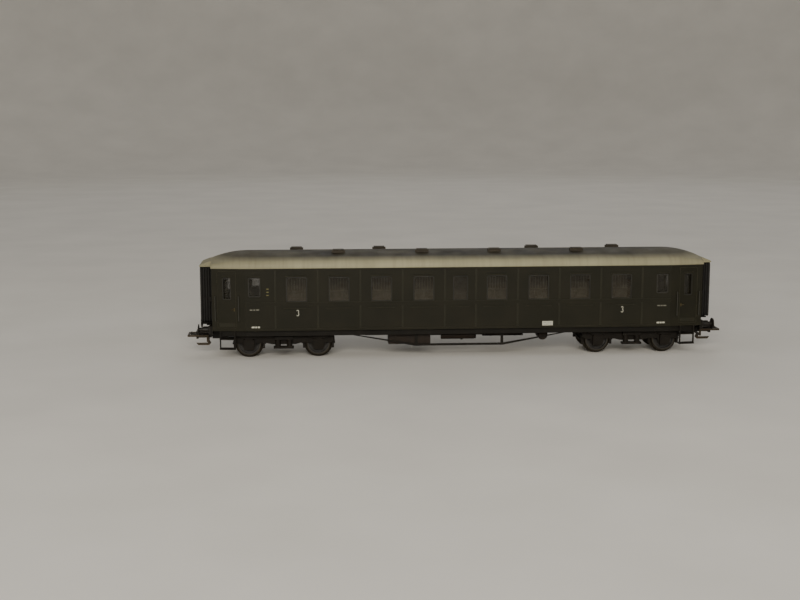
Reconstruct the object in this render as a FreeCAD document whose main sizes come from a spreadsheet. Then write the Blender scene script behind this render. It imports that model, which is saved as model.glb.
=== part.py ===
import FreeCAD, Part
import math
import os
import re

import Sketcher
from FreeCAD import Placement, Rotation, Vector

# Model passenger coach in H0, 1:87, all sizes in millimetres.
# X runs along the coach, Y across it and Z up. The origin is under the middle of the coach,
# level with the wheel flanges, so the rail head is one flange depth higher.
DIMENSIONS = {
    # body shell
    "body_half": 110.4,
    "taper_start": 95.5,
    "half_width": 16.65,
    "end_half_width": 14.75,
    "wall": 1.2,
    "body_bottom": 13.4,
    "gutter_height": 41.3,
    "sill_height": 26.3,
    "window_top": 37.4,
    "window_half": 4.6,
    "middle_window_half": 3.3,
    "window_corner": 0.7,
    "bay_length": 18.85,
    "middle_bay_half": 7.0,
    "toilet_window_middle": 91.6,
    "toilet_window_half": 2.7,
    "toilet_window_bottom": 28.6,
    "door_middle": 103.8,
    "door_half": 4.3,
    "door_window_half": 1.9,
    "door_window_bottom": 27.4,
    "rail_proud": 0.25,
    "belt_rail_height": 1.5,
    "base_rail_height": 0.9,
    "cornice_height": 0.8,
    "end_door_half": 3.7,
    "end_door_height": 22.6,
    # roof
    "roof_overhang": 0.3,
    "roof_edge": 0.5,
    "roof_rise": 6.2,
    "roof_shoulder": 3.2,
    "roof_wall": 1.2,
    "roof_end_gap": 0.35,
    "roof_end_fall": 0.5,
    "hood_length": 5.8,
    "hood_overlap": 0.9,
    "hood_rise": 2.6,
    "hood_edge": 0.5,
    "hood_side": 0.5,
    "vent_length": 6.0,
    "vent_width": 2.4,
    "vent_height": 1.1,
    "vent_offset": 5.4,
    # glazing
    "glass": 0.7,
    "pane_gap": 0.06,
    "pane_recess": 0.35,
    # interior
    "floor_thickness": 1.2,
    "ballast_half": 70.0,
    "ballast_half_width": 11.5,
    "ballast_thickness": 1.6,
    "tray_half": 97.0,
    "tray_half_width": 14.2,
    "tray_thickness": 1.0,
    "partition": 0.8,
    "partition_height": 20.0,
    "doorway_half": 2.8,
    "doorway_sill": 0.4,
    "doorway_height": 17.6,
    "door_leaf": 0.4,
    "door_gap": 0.06,
    "corridor_width": 7.6,
    "bench_depth": 5.0,
    "bench_seat_height": 5.2,
    "bench_back_height": 15.0,
    "bench_slab": 1.0,
    # underframe
    "solebar_end": 107.4,
    "solebar_width": 0.8,
    "solebar_depth": 2.6,
    "plate_inset": 1.35,
    "headstock_thickness": 1.2,
    "headstock_bottom": 11.2,
    "headstock_top": 15.1,
    "headstock_half_width": 13.2,
    "headstock_notch_half": 6.8,
    "headstock_notch_top": 12.3,
    # buffers
    "buffer_face": 117.4,
    "buffer_spacing_half": 10.06,
    "buffer_height": 13.2,
    "buffer_head_radius": 2.6,
    "buffer_head_thickness": 0.7,
    "buffer_crown": 0.35,
    "buffer_plunger_radius": 0.95,
    "buffer_sleeve_radius": 1.5,
    "buffer_sleeve_length": 3.3,
    "buffer_base": 3.8,
    "buffer_base_thickness": 0.5,
    # running gear
    "flange_depth": 1.0,
    "tread_radius": 5.5,
    "wheel_back": 7.2,
    "wheel_width": 2.8,
    "flange_width": 0.9,
    "hub_radius": 2.0,
    "rim_depth": 1.1,
    "axle_radius": 1.0,
    "stub_radius": 0.5,
    "axle_shoulder": 10.2,
    "axle_half": 12.3,
    "running_gap": 0.06,
    "pivot_middle": 79.0,
    "wheelbase": 31.0,
    "side_frame_inner": 10.5,
    "side_frame_thickness": 1.1,
    "side_frame_half": 22.3,
    "side_frame_top": 10.4,
    "side_frame_depth": 3.4,
    "frame_belly_half": 5.2,
    "frame_belly_bottom": 6.4,
    "frame_belly_root": 7.6,
    "pedestal_half": 2.5,
    "pedestal_root": 3.2,
    "pedestal_bottom": 5.0,
    "axle_box_length": 4.4,
    "axle_box_height": 4.6,
    "axle_box_depth": 1.5,
    "leaf_width": 1.3,
    "leaf_thickness": 0.55,
    "leaf_pitch": 0.5,
    "bolster_spring_radius": 1.25,
    "bolster_spring_length": 3.4,
    "bolster_spring_offset": 2.6,
    "bolster_spring_bottom": 5.4,
    "plank_length": 9.0,
    "plank_width": 2.6,
    "plank_thickness": 0.9,
    "plank_bottom": 4.7,
    "bolster_end_length": 8.0,
    "bolster_end_width": 2.4,
    "bolster_end_height": 1.4,
    "bolster_end_bottom": 8.7,
    "bolster_half_length": 3.6,
    "bolster_bottom": 8.9,
    "bolster_top": 11.4,
    "pivot_boss_radius": 4.0,
    "pivot_boss_top": 13.1,
    "screw_radius": 1.0,
    "screw_head_radius": 2.2,
    "screw_head_height": 0.8,
    # brake gear of the bogies
    "shoe_gap": 0.4,
    "shoe_thickness": 1.1,
    "shoe_height": 4.4,
    "shoe_width": 1.3,
    "shoe_middle": 9.15,
    "beam_radius": 0.35,
    # couplers
    "coupler_pivot": 104.0,
    "coupler_height": 9.5,
    "pocket_front": 111.45,
    "pocket_depth": 6.0,
    "pocket_width": 3.2,
    "pocket_opening": 1.7,
    "pocket_wall": 0.9,
    "neck_length": 3.0,
    "hook_reach": 3.6,
    "hook_width": 1.3,
    "loop_drop": 2.6,
    "loop_tail": 1.2,
    "trip_width": 1.4,
    "guide_length": 9.0,
    "guide_offset": 1.3,
    "eye_radius": 2.2,
    "eye_thickness": 1.0,
    "shoe_pin_radius": 0.8,
    "shoe_disc_radius": 2.4,
    "guide_thickness": 1.2,
    "guide_half_width": 5.6,
    "guide_slot_width": 3.0,
    "boss_length": 3.0,
    "shoe_disc_thickness": 0.8,
    "coupler_stretch": 1.5,
    "shank_gap": 0.05,
    "head_length": 6.0,
    "head_width": 4.6,
    "head_height": 2.7,
    "head_plate_half": 3.2,
    "head_plate_height": 3.4,
    "head_plate_thickness": 0.9,
    "loop_pivot": 114.7,
    "loop_front": 122.5,
    "loop_half_width": 4.3,
    "loop_bar": 0.8,
    "loop_rod_radius": 0.35,
    "trip_bottom": 4.4,
    "spring_radius": 0.45,
    "spring_wire": 0.1,
    "spring_pitch": 0.5,
    "spring_turns": 8,
    # equipment under the floor
    "battery_length": 19.0,
    "battery_width": 6.6,
    "battery_height": 6.4,
    "reservoir_radius": 1.9,
    "reservoir_length": 15.0,
    "brake_cylinder_radius": 2.2,
    "brake_cylinder_length": 6.5,
    "generator_radius": 2.3,
    "generator_length": 7.0,
    "pipe_radius": 0.55,
    "battery_along": 22.5,
    "battery_across": 8.8,
    "battery_drop": 1.1,
    "battery_lid": 0.7,
    "battery_lid_drop": 2.7,
    "battery_strap": 1.0,
    "cylinder_start": 2.0,
    "cylinder_across": -4.0,
    "cylinder_height": 8.8,
    "cylinder_cover": 0.8,
    "cylinder_ram": 3.2,
    "ram_radius": 0.5,
    "tank_height": 9.4,
    "tank_across": 9.6,
    "tank_hanger": 0.8,
    "generator_along": 38.5,
    "generator_across": -10.2,
    "generator_height": 9.0,
    "generator_pulley": 0.9,
    "generator_arm": 2.2,
    "pipe_half": 46.0,
    "pipe_across": 4.2,
    "pipe_height": 12.0,
    "pipe_clip_pitch": 11.5,
    "pull_rod_radius": 0.35,
    "pull_rod_half": 42.0,
    "pull_rod_across": 0.2,
    "pull_rod_height": 8.2,
    "lever_width": 0.9,
    "rigging_stay_pitch": 38.0,
    "truss_half": 49.0,
    "truss_post": 20.0,
    "truss_bottom": 5.2,
    "truss_bar": 0.9,
    "truss_width": 0.7,
    "truss_offset": 12.9,
    # ends and doors
    "bellows_half_width": 7.8,
    "bellows_bottom": 16.2,
    "bellows_top": 41.2,
    "bellows_depth": 5.6,
    "bellows_wall": 1.2,
    "footplate_half": 4.0,
    "footplate_thickness": 0.6,
    "footplate_length": 5.6,
    "step_length": 7.2,
    "step_bottom": 5.2,
    "step_board": 0.6,
    "step_depth": 2.6,
    "handrail_radius": 0.25,
    "handrail_height": 11.0,
    "handrail_drop": 8.3,
    "handrail_gap": 0.35,
    "handrail_stay": 0.4,
    "handrail_stay_length": 0.7,
    "step_hanger": 0.6,
    "step_hanger_depth": 0.7,
    "lamp_bracket": 1.4,
    "lamp_bracket_offset": 11.0,
}

ALONG_X = Rotation(Vector(0, 1, 0), 90)
ALONG_Y = Rotation(Vector(1, 0, 0), -90)
UPRIGHT = Rotation()
# A sketch drawn in X and Z, and one drawn in Y and Z.
ON_XZ = Rotation(Vector(1, 0, 0), 90)
ON_YZ = Rotation(Vector(1, 1, 1), 120)
WORD = re.compile(r"[a-z][a-z_]+")
# Turned parts are drawn along X; these point them forwards, backwards and to either side.
FORWARD = {1: Rotation(), -1: Rotation(Vector(0, 0, 1), 180)}
ACROSS = {1: Rotation(Vector(0, 0, 1), 90), -1: Rotation(Vector(0, 0, 1), -90)}
ALONG_BACK = Rotation(Vector(0, 1, 0), -90)
ENDS = {"front": 1, "rear": -1}
SIDES = {"left": 1, "right": -1}

doc = FreeCAD.newDocument("passenger_coach")
sheet = doc.addObject("Spreadsheet::Sheet", "dims")
sub_parts = []


def fill_sheet():
    """Write the driving dimensions into the sheet, one named cell each."""
    for row, (alias, value) in enumerate(DIMENSIONS.items(), start=1):
        sheet.set("A%d" % row, alias)
        sheet.set("B%d" % row, str(value))
        sheet.setAlias("B%d" % row, alias)
    doc.recompute()


def size(alias):
    """The number in a named cell."""
    return float(sheet.get(alias))


def formula(text):
    """Point every driving dimension named in an expression at its cell."""
    def cell(match):
        word = match.group(0)
        return "dims." + word if word in DIMENSIONS else word
    return WORD.sub(cell, str(text))


def bind(piece, **properties):
    """Bind properties of a piece to expressions over the sheet."""
    for name, text in properties.items():
        piece.setExpression(name, formula(text))


def place(piece, x, y, z, rotation=UPRIGHT):
    """Turn a piece, and bind its position to expressions over the sheet."""
    piece.Placement = Placement(Vector(), rotation)
    for axis, text in zip("xyz", (x, y, z)):
        piece.setExpression(".Placement.Base." + axis, formula(text))


def box(name, length, width, height, x, y, z):
    """A block centred on x and y that stands on height z."""
    piece = doc.addObject("Part::Box", name)
    bind(piece, Length=length, Width=width, Height=height)
    place(piece, f"{x} - ({length}) / 2", f"{y} - ({width}) / 2", z)
    return piece


def rod(name, radius, length, x, y, z, along=UPRIGHT):
    """A cylinder whose first end is centred on x, y, z."""
    piece = doc.addObject("Part::Cylinder", name)
    bind(piece, Radius=radius, Height=length)
    place(piece, x, y, z, along)
    return piece


def set_distance(sketch, direction, edge, point, value, text):
    """Fix how far a point of an edge is from the sketch's origin, starting from a rough value."""
    index = sketch.addConstraint(Sketcher.Constraint(direction, -1, 1, edge, point, value))
    sketch.setExpression("Constraints[%d]" % index, formula(text))


def polygon(sketch, corners):
    """Draw a closed outline whose corners are bound to pairs of expressions."""
    count = len(corners)
    first = sketch.GeometryCount
    for number in range(count):
        angles = [2 * math.pi * (number + step) / count for step in (0, 1)]
        ends = [Vector(math.cos(angle), math.sin(angle), 0) for angle in angles]
        sketch.addGeometry(Part.LineSegment(*ends))
    for number, corner in enumerate(corners):
        line = first + number
        following = first + (number + 1) % count
        sketch.addConstraint(Sketcher.Constraint("Coincident", line, 2, following, 1))
        for direction, text in zip(("DistanceX", "DistanceY"), corner):
            set_distance(sketch, direction, line, 1, 1.0, text)


def rectangle(low_x, low_y, high_x, high_y):
    """The corners of a rectangle."""
    return [(low_x, low_y), (high_x, low_y), (high_x, high_y), (low_x, high_y)]


def rounded_window(sketch, half_width, height, corner):
    """Draw an opening with round corners about the sketch's own origin."""
    radius = 0.7
    corners = [(-4, -5), (4, -5), (4, 5), (-4, 5)]
    for number, (across, up) in enumerate(corners):
        begin = math.pi + number * math.pi / 2
        circle = Part.Circle(Vector(across, up, 0), Vector(0, 0, 1), radius)
        sketch.addGeometry(Part.ArcOfCircle(circle, begin, begin + math.pi / 2))
    for number in range(4):
        following = (number + 1) % 4
        start = sketch.Geometry[number].EndPoint
        end = sketch.Geometry[following].StartPoint
        line = sketch.addGeometry(Part.LineSegment(start, end))
        sketch.addConstraint(Sketcher.Constraint("Tangent", number, 2, line, 1))
        sketch.addConstraint(Sketcher.Constraint("Tangent", line, 2, following, 1))
        way = "Horizontal" if number % 2 == 0 else "Vertical"
        sketch.addConstraint(Sketcher.Constraint(way, line))
    for number in range(3):
        sketch.addConstraint(Sketcher.Constraint("Equal", 0, number + 1))
    set_distance(sketch, "DistanceY", 4, 1, -5 - radius, f"-({height}) / 2")
    set_distance(sketch, "DistanceX", 5, 1, 4 + radius, half_width)
    set_distance(sketch, "DistanceY", 6, 1, 5 + radius, f"({height}) / 2")
    set_distance(sketch, "DistanceX", 7, 1, -4 - radius, f"-({half_width})")
    index = sketch.addConstraint(Sketcher.Constraint("Radius", 0, radius))
    sketch.setExpression("Constraints[%d]" % index, formula(corner))


def prism(name, corners, length, rotation, x="0", y="0", z="0"):
    """Extrude an outline along the normal of its sketch, both ways alike."""
    outline = doc.addObject("Sketcher::SketchObject", name + "_outline")
    polygon(outline, corners)
    place(outline, x, y, z, rotation)
    piece = doc.addObject("Part::Extrusion", name)
    piece.Base = outline
    piece.DirMode = "Normal"
    piece.Solid = True
    piece.Symmetric = True
    bind(piece, LengthFwd=length)
    return piece


def turned(name, corners, along, x, y, z):
    """Turn an outline of distances along the axis and radii about that axis."""
    outline = doc.addObject("Sketcher::SketchObject", name + "_outline")
    polygon(outline, corners)
    piece = doc.addObject("Part::Revolution", name)
    piece.Source = outline
    piece.Axis = Vector(1, 0, 0)
    piece.Solid = True
    place(piece, x, y, z, along)
    return piece


def fused(name, pieces):
    """Join pieces into one solid."""
    whole = doc.addObject("Part::MultiFuse", name)
    whole.Shapes = pieces
    whole.Refine = True
    return whole


def cut(name, base, tool):
    """Take the tool away from the base."""
    whole = doc.addObject("Part::Cut", name)
    whole.Base = base
    whole.Tool = tool
    return whole


def group(name, pieces):
    """Keep separate solids together as one sub-part."""
    whole = doc.addObject("Part::Compound", name)
    whole.Links = pieces
    return whole


def keep(piece, label):
    """Give a finished sub-part the label that names its file."""
    piece.Label = label
    sub_parts.append(piece)


def origin_plane(body, role):
    """One of a body's own origin planes or axes."""
    return [feature for feature in body.Origin.OriginFeatures if feature.Role == role][0]


def body_sketch(body, name, role, offset="0", right="0", up="0"):
    """A sketch on an origin plane of the body, moved along that plane's normal and within it."""
    sketch = body.newObject("Sketcher::SketchObject", name)
    sketch.AttachmentSupport = [(origin_plane(body, role), "")]
    sketch.MapMode = "FlatFace"
    for axis, text in zip("xyz", (right, up, offset)):
        sketch.setExpression(".AttachmentOffset.Base." + axis, formula(text))
    return sketch


def pad(body, name, sketch, length, symmetric=False, backwards=False):
    """Add the outline of a sketch to the body."""
    feature = body.newObject("PartDesign::Pad", name)
    feature.Profile = sketch
    feature.Midplane = symmetric
    feature.Reversed = backwards
    bind(feature, Length=length)
    doc.recompute()
    return feature


def pocket(body, name, sketch):
    """Cut the outline of a sketch right through the body, both ways."""
    before = body.Shape.Volume
    feature = body.newObject("PartDesign::Pocket", name)
    feature.Profile = sketch
    feature.Type = "ThroughAll"
    feature.Midplane = True
    doc.recompute()
    if body.Shape.Volume >= before:
        raise ValueError(name + " cut nothing")
    return feature


def pattern(body, name, feature, spacing, count):
    """Repeat a feature along X; the spacing is that of two neighbours."""
    repeat = body.newObject("PartDesign::LinearPattern", name)
    repeat.Originals = [feature]
    repeat.Direction = (origin_plane(body, "X_Axis"), [""])
    repeat.Occurrences = count
    bind(repeat, Length=f"({spacing}) * {count - 1}")
    body.Tip = repeat
    doc.recompute()
    return repeat


BAYS = 4
BELLOWS_FOLDS = 5
# How far along the tapered end the roof's cross-sections stand.
ROOF_STEPS = (0.0, 0.2, 0.38, 0.54, 0.68, 0.8, 0.9, 0.96, 1.0)
# Lengths of the leaves of an axle spring, from the axle box up.
SPRING_LEAVES = (3.4, 6.2, 9.0)
PLAN = [
    ("taper_start", "-half_width"), ("body_half", "-end_half_width"),
    ("body_half", "end_half_width"), ("taper_start", "half_width"),
    ("-taper_start", "half_width"), ("-body_half", "end_half_width"),
    ("-body_half", "-end_half_width"), ("-taper_start", "-half_width"),
]


def inset_plan(distance):
    """The plan of the body, moved in by a distance."""
    inset = []
    for x, y in PLAN:
        x_sign = "-" if x.startswith("-") else ""
        y_sign = "-" if y.startswith("-") else ""
        x_word = x.lstrip("-")
        y_word = y.lstrip("-")
        move_x = distance if x_word == "body_half" else "0"
        inset.append((f"{x_sign}({x_word} - {move_x})", f"{y_sign}({y_word} - {distance})"))
    return inset


def make_body_shell():
    """The coach body: sides with window openings, tapered ends and raised rails."""
    body = doc.addObject("PartDesign::Body", "body_shell")
    outline = body_sketch(body, "body_plan", "XY_Plane", "body_bottom")
    polygon(outline, PLAN)
    pad(body, "body_block", outline, "gutter_height - body_bottom")
    hollow = body_sketch(body, "body_hollow_plan", "XY_Plane")
    polygon(hollow, inset_plan("wall"))
    pocket(body, "body_hollow", hollow)
    rails = {
        "base_rail": ("body_bottom", "base_rail_height"),
        "belt_rail": ("sill_height - 1.1 * belt_rail_height", "belt_rail_height"),
        "cornice": ("gutter_height - cornice_height", "cornice_height"),
    }
    for name, (bottom, height) in rails.items():
        for side, sign in SIDES.items():
            rail = body_sketch(body, f"{name}_{side}_section", "YZ_Plane")
            low, high = "half_width - wall / 2", "half_width + rail_proud"
            corners = rectangle(f"{sign} * ({low})", bottom, f"{sign} * ({high})", f"{bottom} + {height}")
            polygon(rail, corners)
            pad(body, f"{name}_{side}", rail, "2 * taper_start", symmetric=True)
    for end, sign in ENDS.items():
        middle = f"{sign} * (middle_bay_half + bay_length / 2)"
        opening = body_sketch(body, f"window_{end}_outline", "XZ_Plane", right=middle,
                              up="(window_top + sill_height) / 2")
        rounded_window(opening, "window_half", "window_top - sill_height", "window_corner")
        window = pocket(body, f"window_{end}", opening)
        repeat = pattern(body, f"windows_{end}", window, "bay_length", BAYS)
        repeat.Reversed = sign < 0
        doc.recompute()
    openings = {
        "middle_window": ("0", "middle_window_half", "sill_height"),
        "toilet_window_front": ("toilet_window_middle", "toilet_window_half", "toilet_window_bottom"),
        "toilet_window_rear": ("-toilet_window_middle", "toilet_window_half", "toilet_window_bottom"),
        "door_window_front": ("door_middle", "door_window_half", "door_window_bottom"),
        "door_window_rear": ("-door_middle", "door_window_half", "door_window_bottom"),
    }
    for name, (middle, half, bottom) in openings.items():
        opening = body_sketch(body, name + "_outline", "XZ_Plane", right=middle,
                              up=f"(window_top + {bottom}) / 2")
        rounded_window(opening, half, f"window_top - {bottom}", "window_corner")
        pocket(body, name, opening)
    doorway = body_sketch(body, "end_doorway_outline", "YZ_Plane")
    polygon(doorway, rectangle("-end_door_half", "body_bottom + 2 * wall", "end_door_half",
                               "body_bottom + 2 * wall + end_door_height"))
    pocket(body, "end_doorways", doorway)
    keep(body, "body_shell")


def roof_section(name, x, half_width, rise):
    """The roof's cross-section at x: a low upright edge, a shoulder arc, a crown arc and the same again."""
    edge = size("roof_edge")
    bottom = size("gutter_height")
    shoulder = min(size("roof_shoulder"), 0.55 * (rise - edge))
    across = half_width - shoulder
    above_edge = rise - edge
    # The crown touches the shoulder arcs, which fixes its radius.
    crown = (across ** 2 + above_edge ** 2 - shoulder ** 2) / (2 * (above_edge - shoulder))
    crown_height = bottom + rise - crown
    turn = math.atan2(across, bottom + edge - crown_height)
    normal = Vector(0, 0, 1)
    corners = [Vector(side * half_width, bottom, 0) for side in (1, -1)]
    edges = [Vector(side * half_width, bottom + edge, 0) for side in (1, -1)]
    shoulders = [Part.Circle(Vector(side * across, bottom + edge, 0), normal, shoulder) for side in (1, -1)]
    crown_circle = Part.Circle(Vector(0, crown_height, 0), normal, crown)
    quarter = math.pi / 2
    sketch = doc.addObject("Sketcher::SketchObject", name)
    outline = [
        Part.LineSegment(corners[1], corners[0]),
        Part.LineSegment(corners[0], edges[0]),
        Part.ArcOfCircle(shoulders[0], 0, quarter - turn),
        Part.ArcOfCircle(crown_circle, quarter - turn, quarter + turn),
        Part.ArcOfCircle(shoulders[1], quarter + turn, math.pi),
        Part.LineSegment(edges[1], corners[1]),
    ]
    for piece in outline:
        sketch.addGeometry(piece)
    sketch.Placement = Placement(Vector(x, 0, 0), ON_YZ)
    return sketch


def roof_form(name, wall):
    """The roof's outer form, or its hollow when there is a wall, lofted through its cross-sections."""
    start = size("taper_start")
    end = size("body_half") + size("roof_end_gap")
    slope = (size("half_width") - size("end_half_width")) / (size("body_half") - start)
    stations = []
    for step in ROOF_STEPS:
        x = start + step * (end - start)
        half_width = size("half_width") + size("roof_overhang") - slope * (x - start) - wall
        rise = size("roof_rise") * (1 - size("roof_end_fall") * step ** 2) - wall
        if wall == 0 or rise > 2 * wall:
            stations.append((x, half_width, rise))
    stations = [(-x, half_width, rise) for x, half_width, rise in reversed(stations)] + stations
    loft = doc.addObject("Part::Loft", name)
    loft.Sections = [roof_section(f"{name}_{number}", *station) for number, station in enumerate(stations)]
    loft.Solid = True
    loft.Ruled = True
    return loft


def make_roof():
    """The thin roof shell, its curved ends with a hood over each bellows, and the flat ventilators."""
    shell = cut("roof_shell", roof_form("roof_outside", 0), roof_form("roof_hollow", size("roof_wall")))
    hoods = []
    for end, sign in ENDS.items():
        corners = [
            (f"{sign} * (body_half - hood_overlap)", "gutter_height"),
            (f"{sign} * (body_half + hood_length)", "gutter_height"),
            (f"{sign} * (body_half + hood_length)", "gutter_height + hood_edge"),
            (f"{sign} * (body_half + 0.9 * hood_length)", "gutter_height + 2 * hood_edge"),
            (f"{sign} * (body_half + 0.4 * hood_length)", "gutter_height + 0.8 * hood_rise"),
            (f"{sign} * body_half", "gutter_height + hood_rise"),
            (f"{sign} * (body_half - hood_overlap)", "gutter_height + hood_rise"),
        ]
        hoods.append(prism(f"hood_{end}", corners, "2 * (bellows_half_width + hood_side)", ON_XZ))
    keep(fused("roof_with_hoods", [shell] + hoods), "roof")
    vents = []
    for number in range(2 * BAYS):
        sign = 1 if number < BAYS else -1
        along = f"{sign} * (middle_bay_half + bay_length * {number % BAYS + 0.5})"
        side = 1 if number % 2 else -1
        # The foot of each ventilator sinks a little into the crown of the roof.
        base = box(f"vent_base_{number}", "vent_length", "vent_width", "vent_height", along,
                   f"{side} * vent_offset", "gutter_height + roof_rise - 0.55")
        cap = box(f"vent_cap_{number}", "vent_length - 1.2", "vent_width + 0.8", "0.4", along,
                  f"{side} * vent_offset", "gutter_height + roof_rise - 0.55 + vent_height")
        vents.append(fused(f"vent_{number}", [base, cap]))
    roof_block = roof_form("roof_under_vents", 0)
    keep(cut("vents_on_roof", group("vents", vents), roof_block), "roof_vents")


def make_glazing():
    """A clear strip behind each side, with a pane in every window, and panes for the end doors."""
    for side, sign in SIDES.items():
        body = doc.addObject("PartDesign::Body", f"glazing_{side}_body")
        inside = "half_width - wall"
        strip = body_sketch(body, f"glazing_{side}_section", "YZ_Plane")
        low, high = f"{sign} * ({inside} - glass)", f"{sign} * ({inside})"
        polygon(strip, rectangle(low, "sill_height - 1.4", high, "window_top + 1.4"))
        pad(body, f"glazing_{side}_strip", strip, "2 * taper_start - 1.2", symmetric=True)
        # The plane X, Z looks along -Y, so its offset is counted the other way.
        offset = f"{-sign} * ({inside} - glass / 2)"
        length = "wall - pane_recess + glass / 2"
        middles = []
        for end in (-1, 1):
            middles += [f"{end} * (middle_bay_half + bay_length * {bay + 0.5})" for bay in range(BAYS)]
        windows = [(middle, "window_half", "sill_height") for middle in middles]
        windows.append(("0", "middle_window_half", "sill_height"))
        for end in (-1, 1):
            windows.append((f"{end} * toilet_window_middle", "toilet_window_half", "toilet_window_bottom"))
        for number, (middle, half, bottom) in enumerate(windows):
            pane = body_sketch(body, f"pane_{side}_{number}_outline", "XZ_Plane", offset, right=middle,
                               up=f"(window_top + {bottom}) / 2")
            rounded_window(pane, f"{half} - pane_gap", f"window_top - {bottom} - 2 * pane_gap",
                           "window_corner")
            pad(body, f"pane_{side}_{number}", pane, length, backwards=sign > 0)
        keep(body, f"glazing_{side}")
    panes = []
    for end, end_sign in ENDS.items():
        for side, sign in SIDES.items():
            corners = []
            for edge, depth in ((-1, 0), (1, 0), (1, 1), (-1, 1)):
                x = f"(door_middle + {edge} * (door_window_half + 1))"
                y = f"({side_at(x)} - wall - 0.2 - {depth} * glass)"
                corners.append((f"{end_sign} * {x}", f"{sign} * {y}"))
            panes.append(prism(f"door_pane_{end}_{side}", corners, "window_top - door_window_bottom + 2",
                               UPRIGHT,
                               z="(window_top + door_window_bottom) / 2"))
    keep(group("door_panes", panes), "door_glazing")


def side_at(x):
    """The half width of the body at a distance x inside the tapered end."""
    return f"(half_width - (half_width - end_half_width) * (({x}) - taper_start) / (body_half - taper_start))"


def make_interior():
    """The tray, the corridor wall with its doorways, the compartment walls and the benches."""
    floor_top = "body_bottom + floor_thickness + ballast_thickness + tray_thickness"
    keep(box("ballast", "2 * ballast_half", "2 * ballast_half_width", "ballast_thickness", "0", "0",
             "body_bottom + floor_thickness"), "ballast_weight")
    keep(box("tray", "2 * tray_half", "2 * tray_half_width", "tray_thickness", "0", "0",
             "body_bottom + floor_thickness + ballast_thickness"), "interior_floor")
    saloon_half = f"(middle_bay_half + {BAYS} * bay_length)"
    wall_middle = "tray_half_width - corridor_width"
    wall = box("corridor_wall_board", f"2 * {saloon_half} + partition", "partition", "partition_height",
               "0",
               wall_middle, floor_top)
    doorways = []
    doors = []
    for end in (-1, 1):
        for bay in range(BAYS):
            middle = f"{end} * (middle_bay_half + bay_length * {bay + 0.5})"
            doorways.append(box(f"doorway_{end}_{bay}", "2 * doorway_half", "3 * partition",
                                "doorway_height", middle,
                                wall_middle, f"{floor_top} + doorway_sill"))
            doors.append(box(f"sliding_door_{end}_{bay}", "2 * (doorway_half - door_gap)", "door_leaf",
                             "doorway_height - door_gap", middle, wall_middle,
                             f"{floor_top} + doorway_sill"))
    keep(cut("corridor_wall_cut", wall, fused("doorways", doorways)), "corridor_wall")
    keep(group("sliding_doors", doors), "corridor_doors")
    room_width = "2 * tray_half_width - corridor_width - partition / 2"
    room_middle = f"-tray_half_width + ({room_width}) / 2"
    walls = []
    for end in (-1, 1):
        for bay in range(BAYS + 1):
            walls.append(box(f"wall_{end}_{bay}", "partition", room_width, "partition_height",
                             f"{end} * (middle_bay_half + bay_length * {bay})", room_middle, floor_top))
    keep(group("walls", walls), "compartment_walls")
    benches = []
    for end in (-1, 1):
        for bay in range(BAYS):
            for facing in (-1, 1):
                back = f"({end} * (middle_bay_half + bay_length * {bay + 0.5})" \
                       f" + {facing} * (bay_length / 2 - partition / 2 - 0.1))"
                reach = f"{back} - {facing} * bench_depth"
                slab = f"{back} - {facing} * bench_slab"
                foot = f"{back} - {facing} * 0.7 * bench_depth"
                seat = f"{floor_top} + bench_seat_height"
                corners = [
                    (back, floor_top), (foot, floor_top), (foot, f"{seat} - bench_slab"),
                    (reach, f"{seat} - bench_slab"), (reach, seat), (slab, seat),
                    (slab, f"{floor_top} + bench_back_height"), (back, f"{floor_top} + bench_back_height"),
                ]
                benches.append(prism(f"bench_{end}_{bay}_{facing}", corners, f"{room_width} - 1.2", ON_XZ,
                                     y=room_middle))
    keep(group("bench_set", benches), "benches")


def make_underframe():
    """The floor plate with its two solebars, drilled for the bogie screws."""
    body = doc.addObject("PartDesign::Body", "underframe_body")
    plate = body_sketch(body, "floor_plan", "XY_Plane", "body_bottom")
    polygon(plate, inset_plan("plate_inset"))
    pad(body, "floor_plate", plate, "floor_thickness")
    for side, sign in SIDES.items():
        solebar = body_sketch(body, f"solebar_{side}_plan", "XY_Plane", "body_bottom + 0.2")
        outer = [(f"{end} * solebar_end",
                  f"{sign} * ({side_at('solebar_end')} - plate_inset)") for end in (1, -1)]
        inner = [(f"{end} * solebar_end",
                  f"{sign} * ({side_at('solebar_end')} - plate_inset - solebar_width)")
                 for end in (-1, 1)]
        outer.insert(1, ("taper_start", f"{sign} * (half_width - plate_inset)"))
        outer.insert(2, ("-taper_start", f"{sign} * (half_width - plate_inset)"))
        inner.insert(1, ("-taper_start", f"{sign} * (half_width - plate_inset - solebar_width)"))
        inner.insert(2, ("taper_start", f"{sign} * (half_width - plate_inset - solebar_width)"))
        polygon(solebar, outer + inner)
        pad(body, f"solebar_{side}", solebar, "solebar_depth + 0.2", backwards=True)
    holes = body_sketch(body, "screw_holes_plan", "XY_Plane")
    for sign in ENDS.values():
        hole = holes.addGeometry(Part.Circle(Vector(sign * size("pivot_middle"), 0, 0), Vector(0, 0, 1),
                                             1.0))
        middle = [
            Sketcher.Constraint("DistanceX", -1, 1, hole, 3, 1.0),
            Sketcher.Constraint("DistanceY", -1, 1, hole, 3, 0.0),
            Sketcher.Constraint("Radius", hole, 1.0),
        ]
        texts = (f"{sign} * pivot_middle", "0", "screw_radius + 0.02")
        for constraint, text in zip(middle, texts):
            index = holes.addConstraint(constraint)
            holes.setExpression("Constraints[%d]" % index, formula(text))
    pocket(body, "screw_holes", holes)
    keep(body, "underframe")


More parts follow.
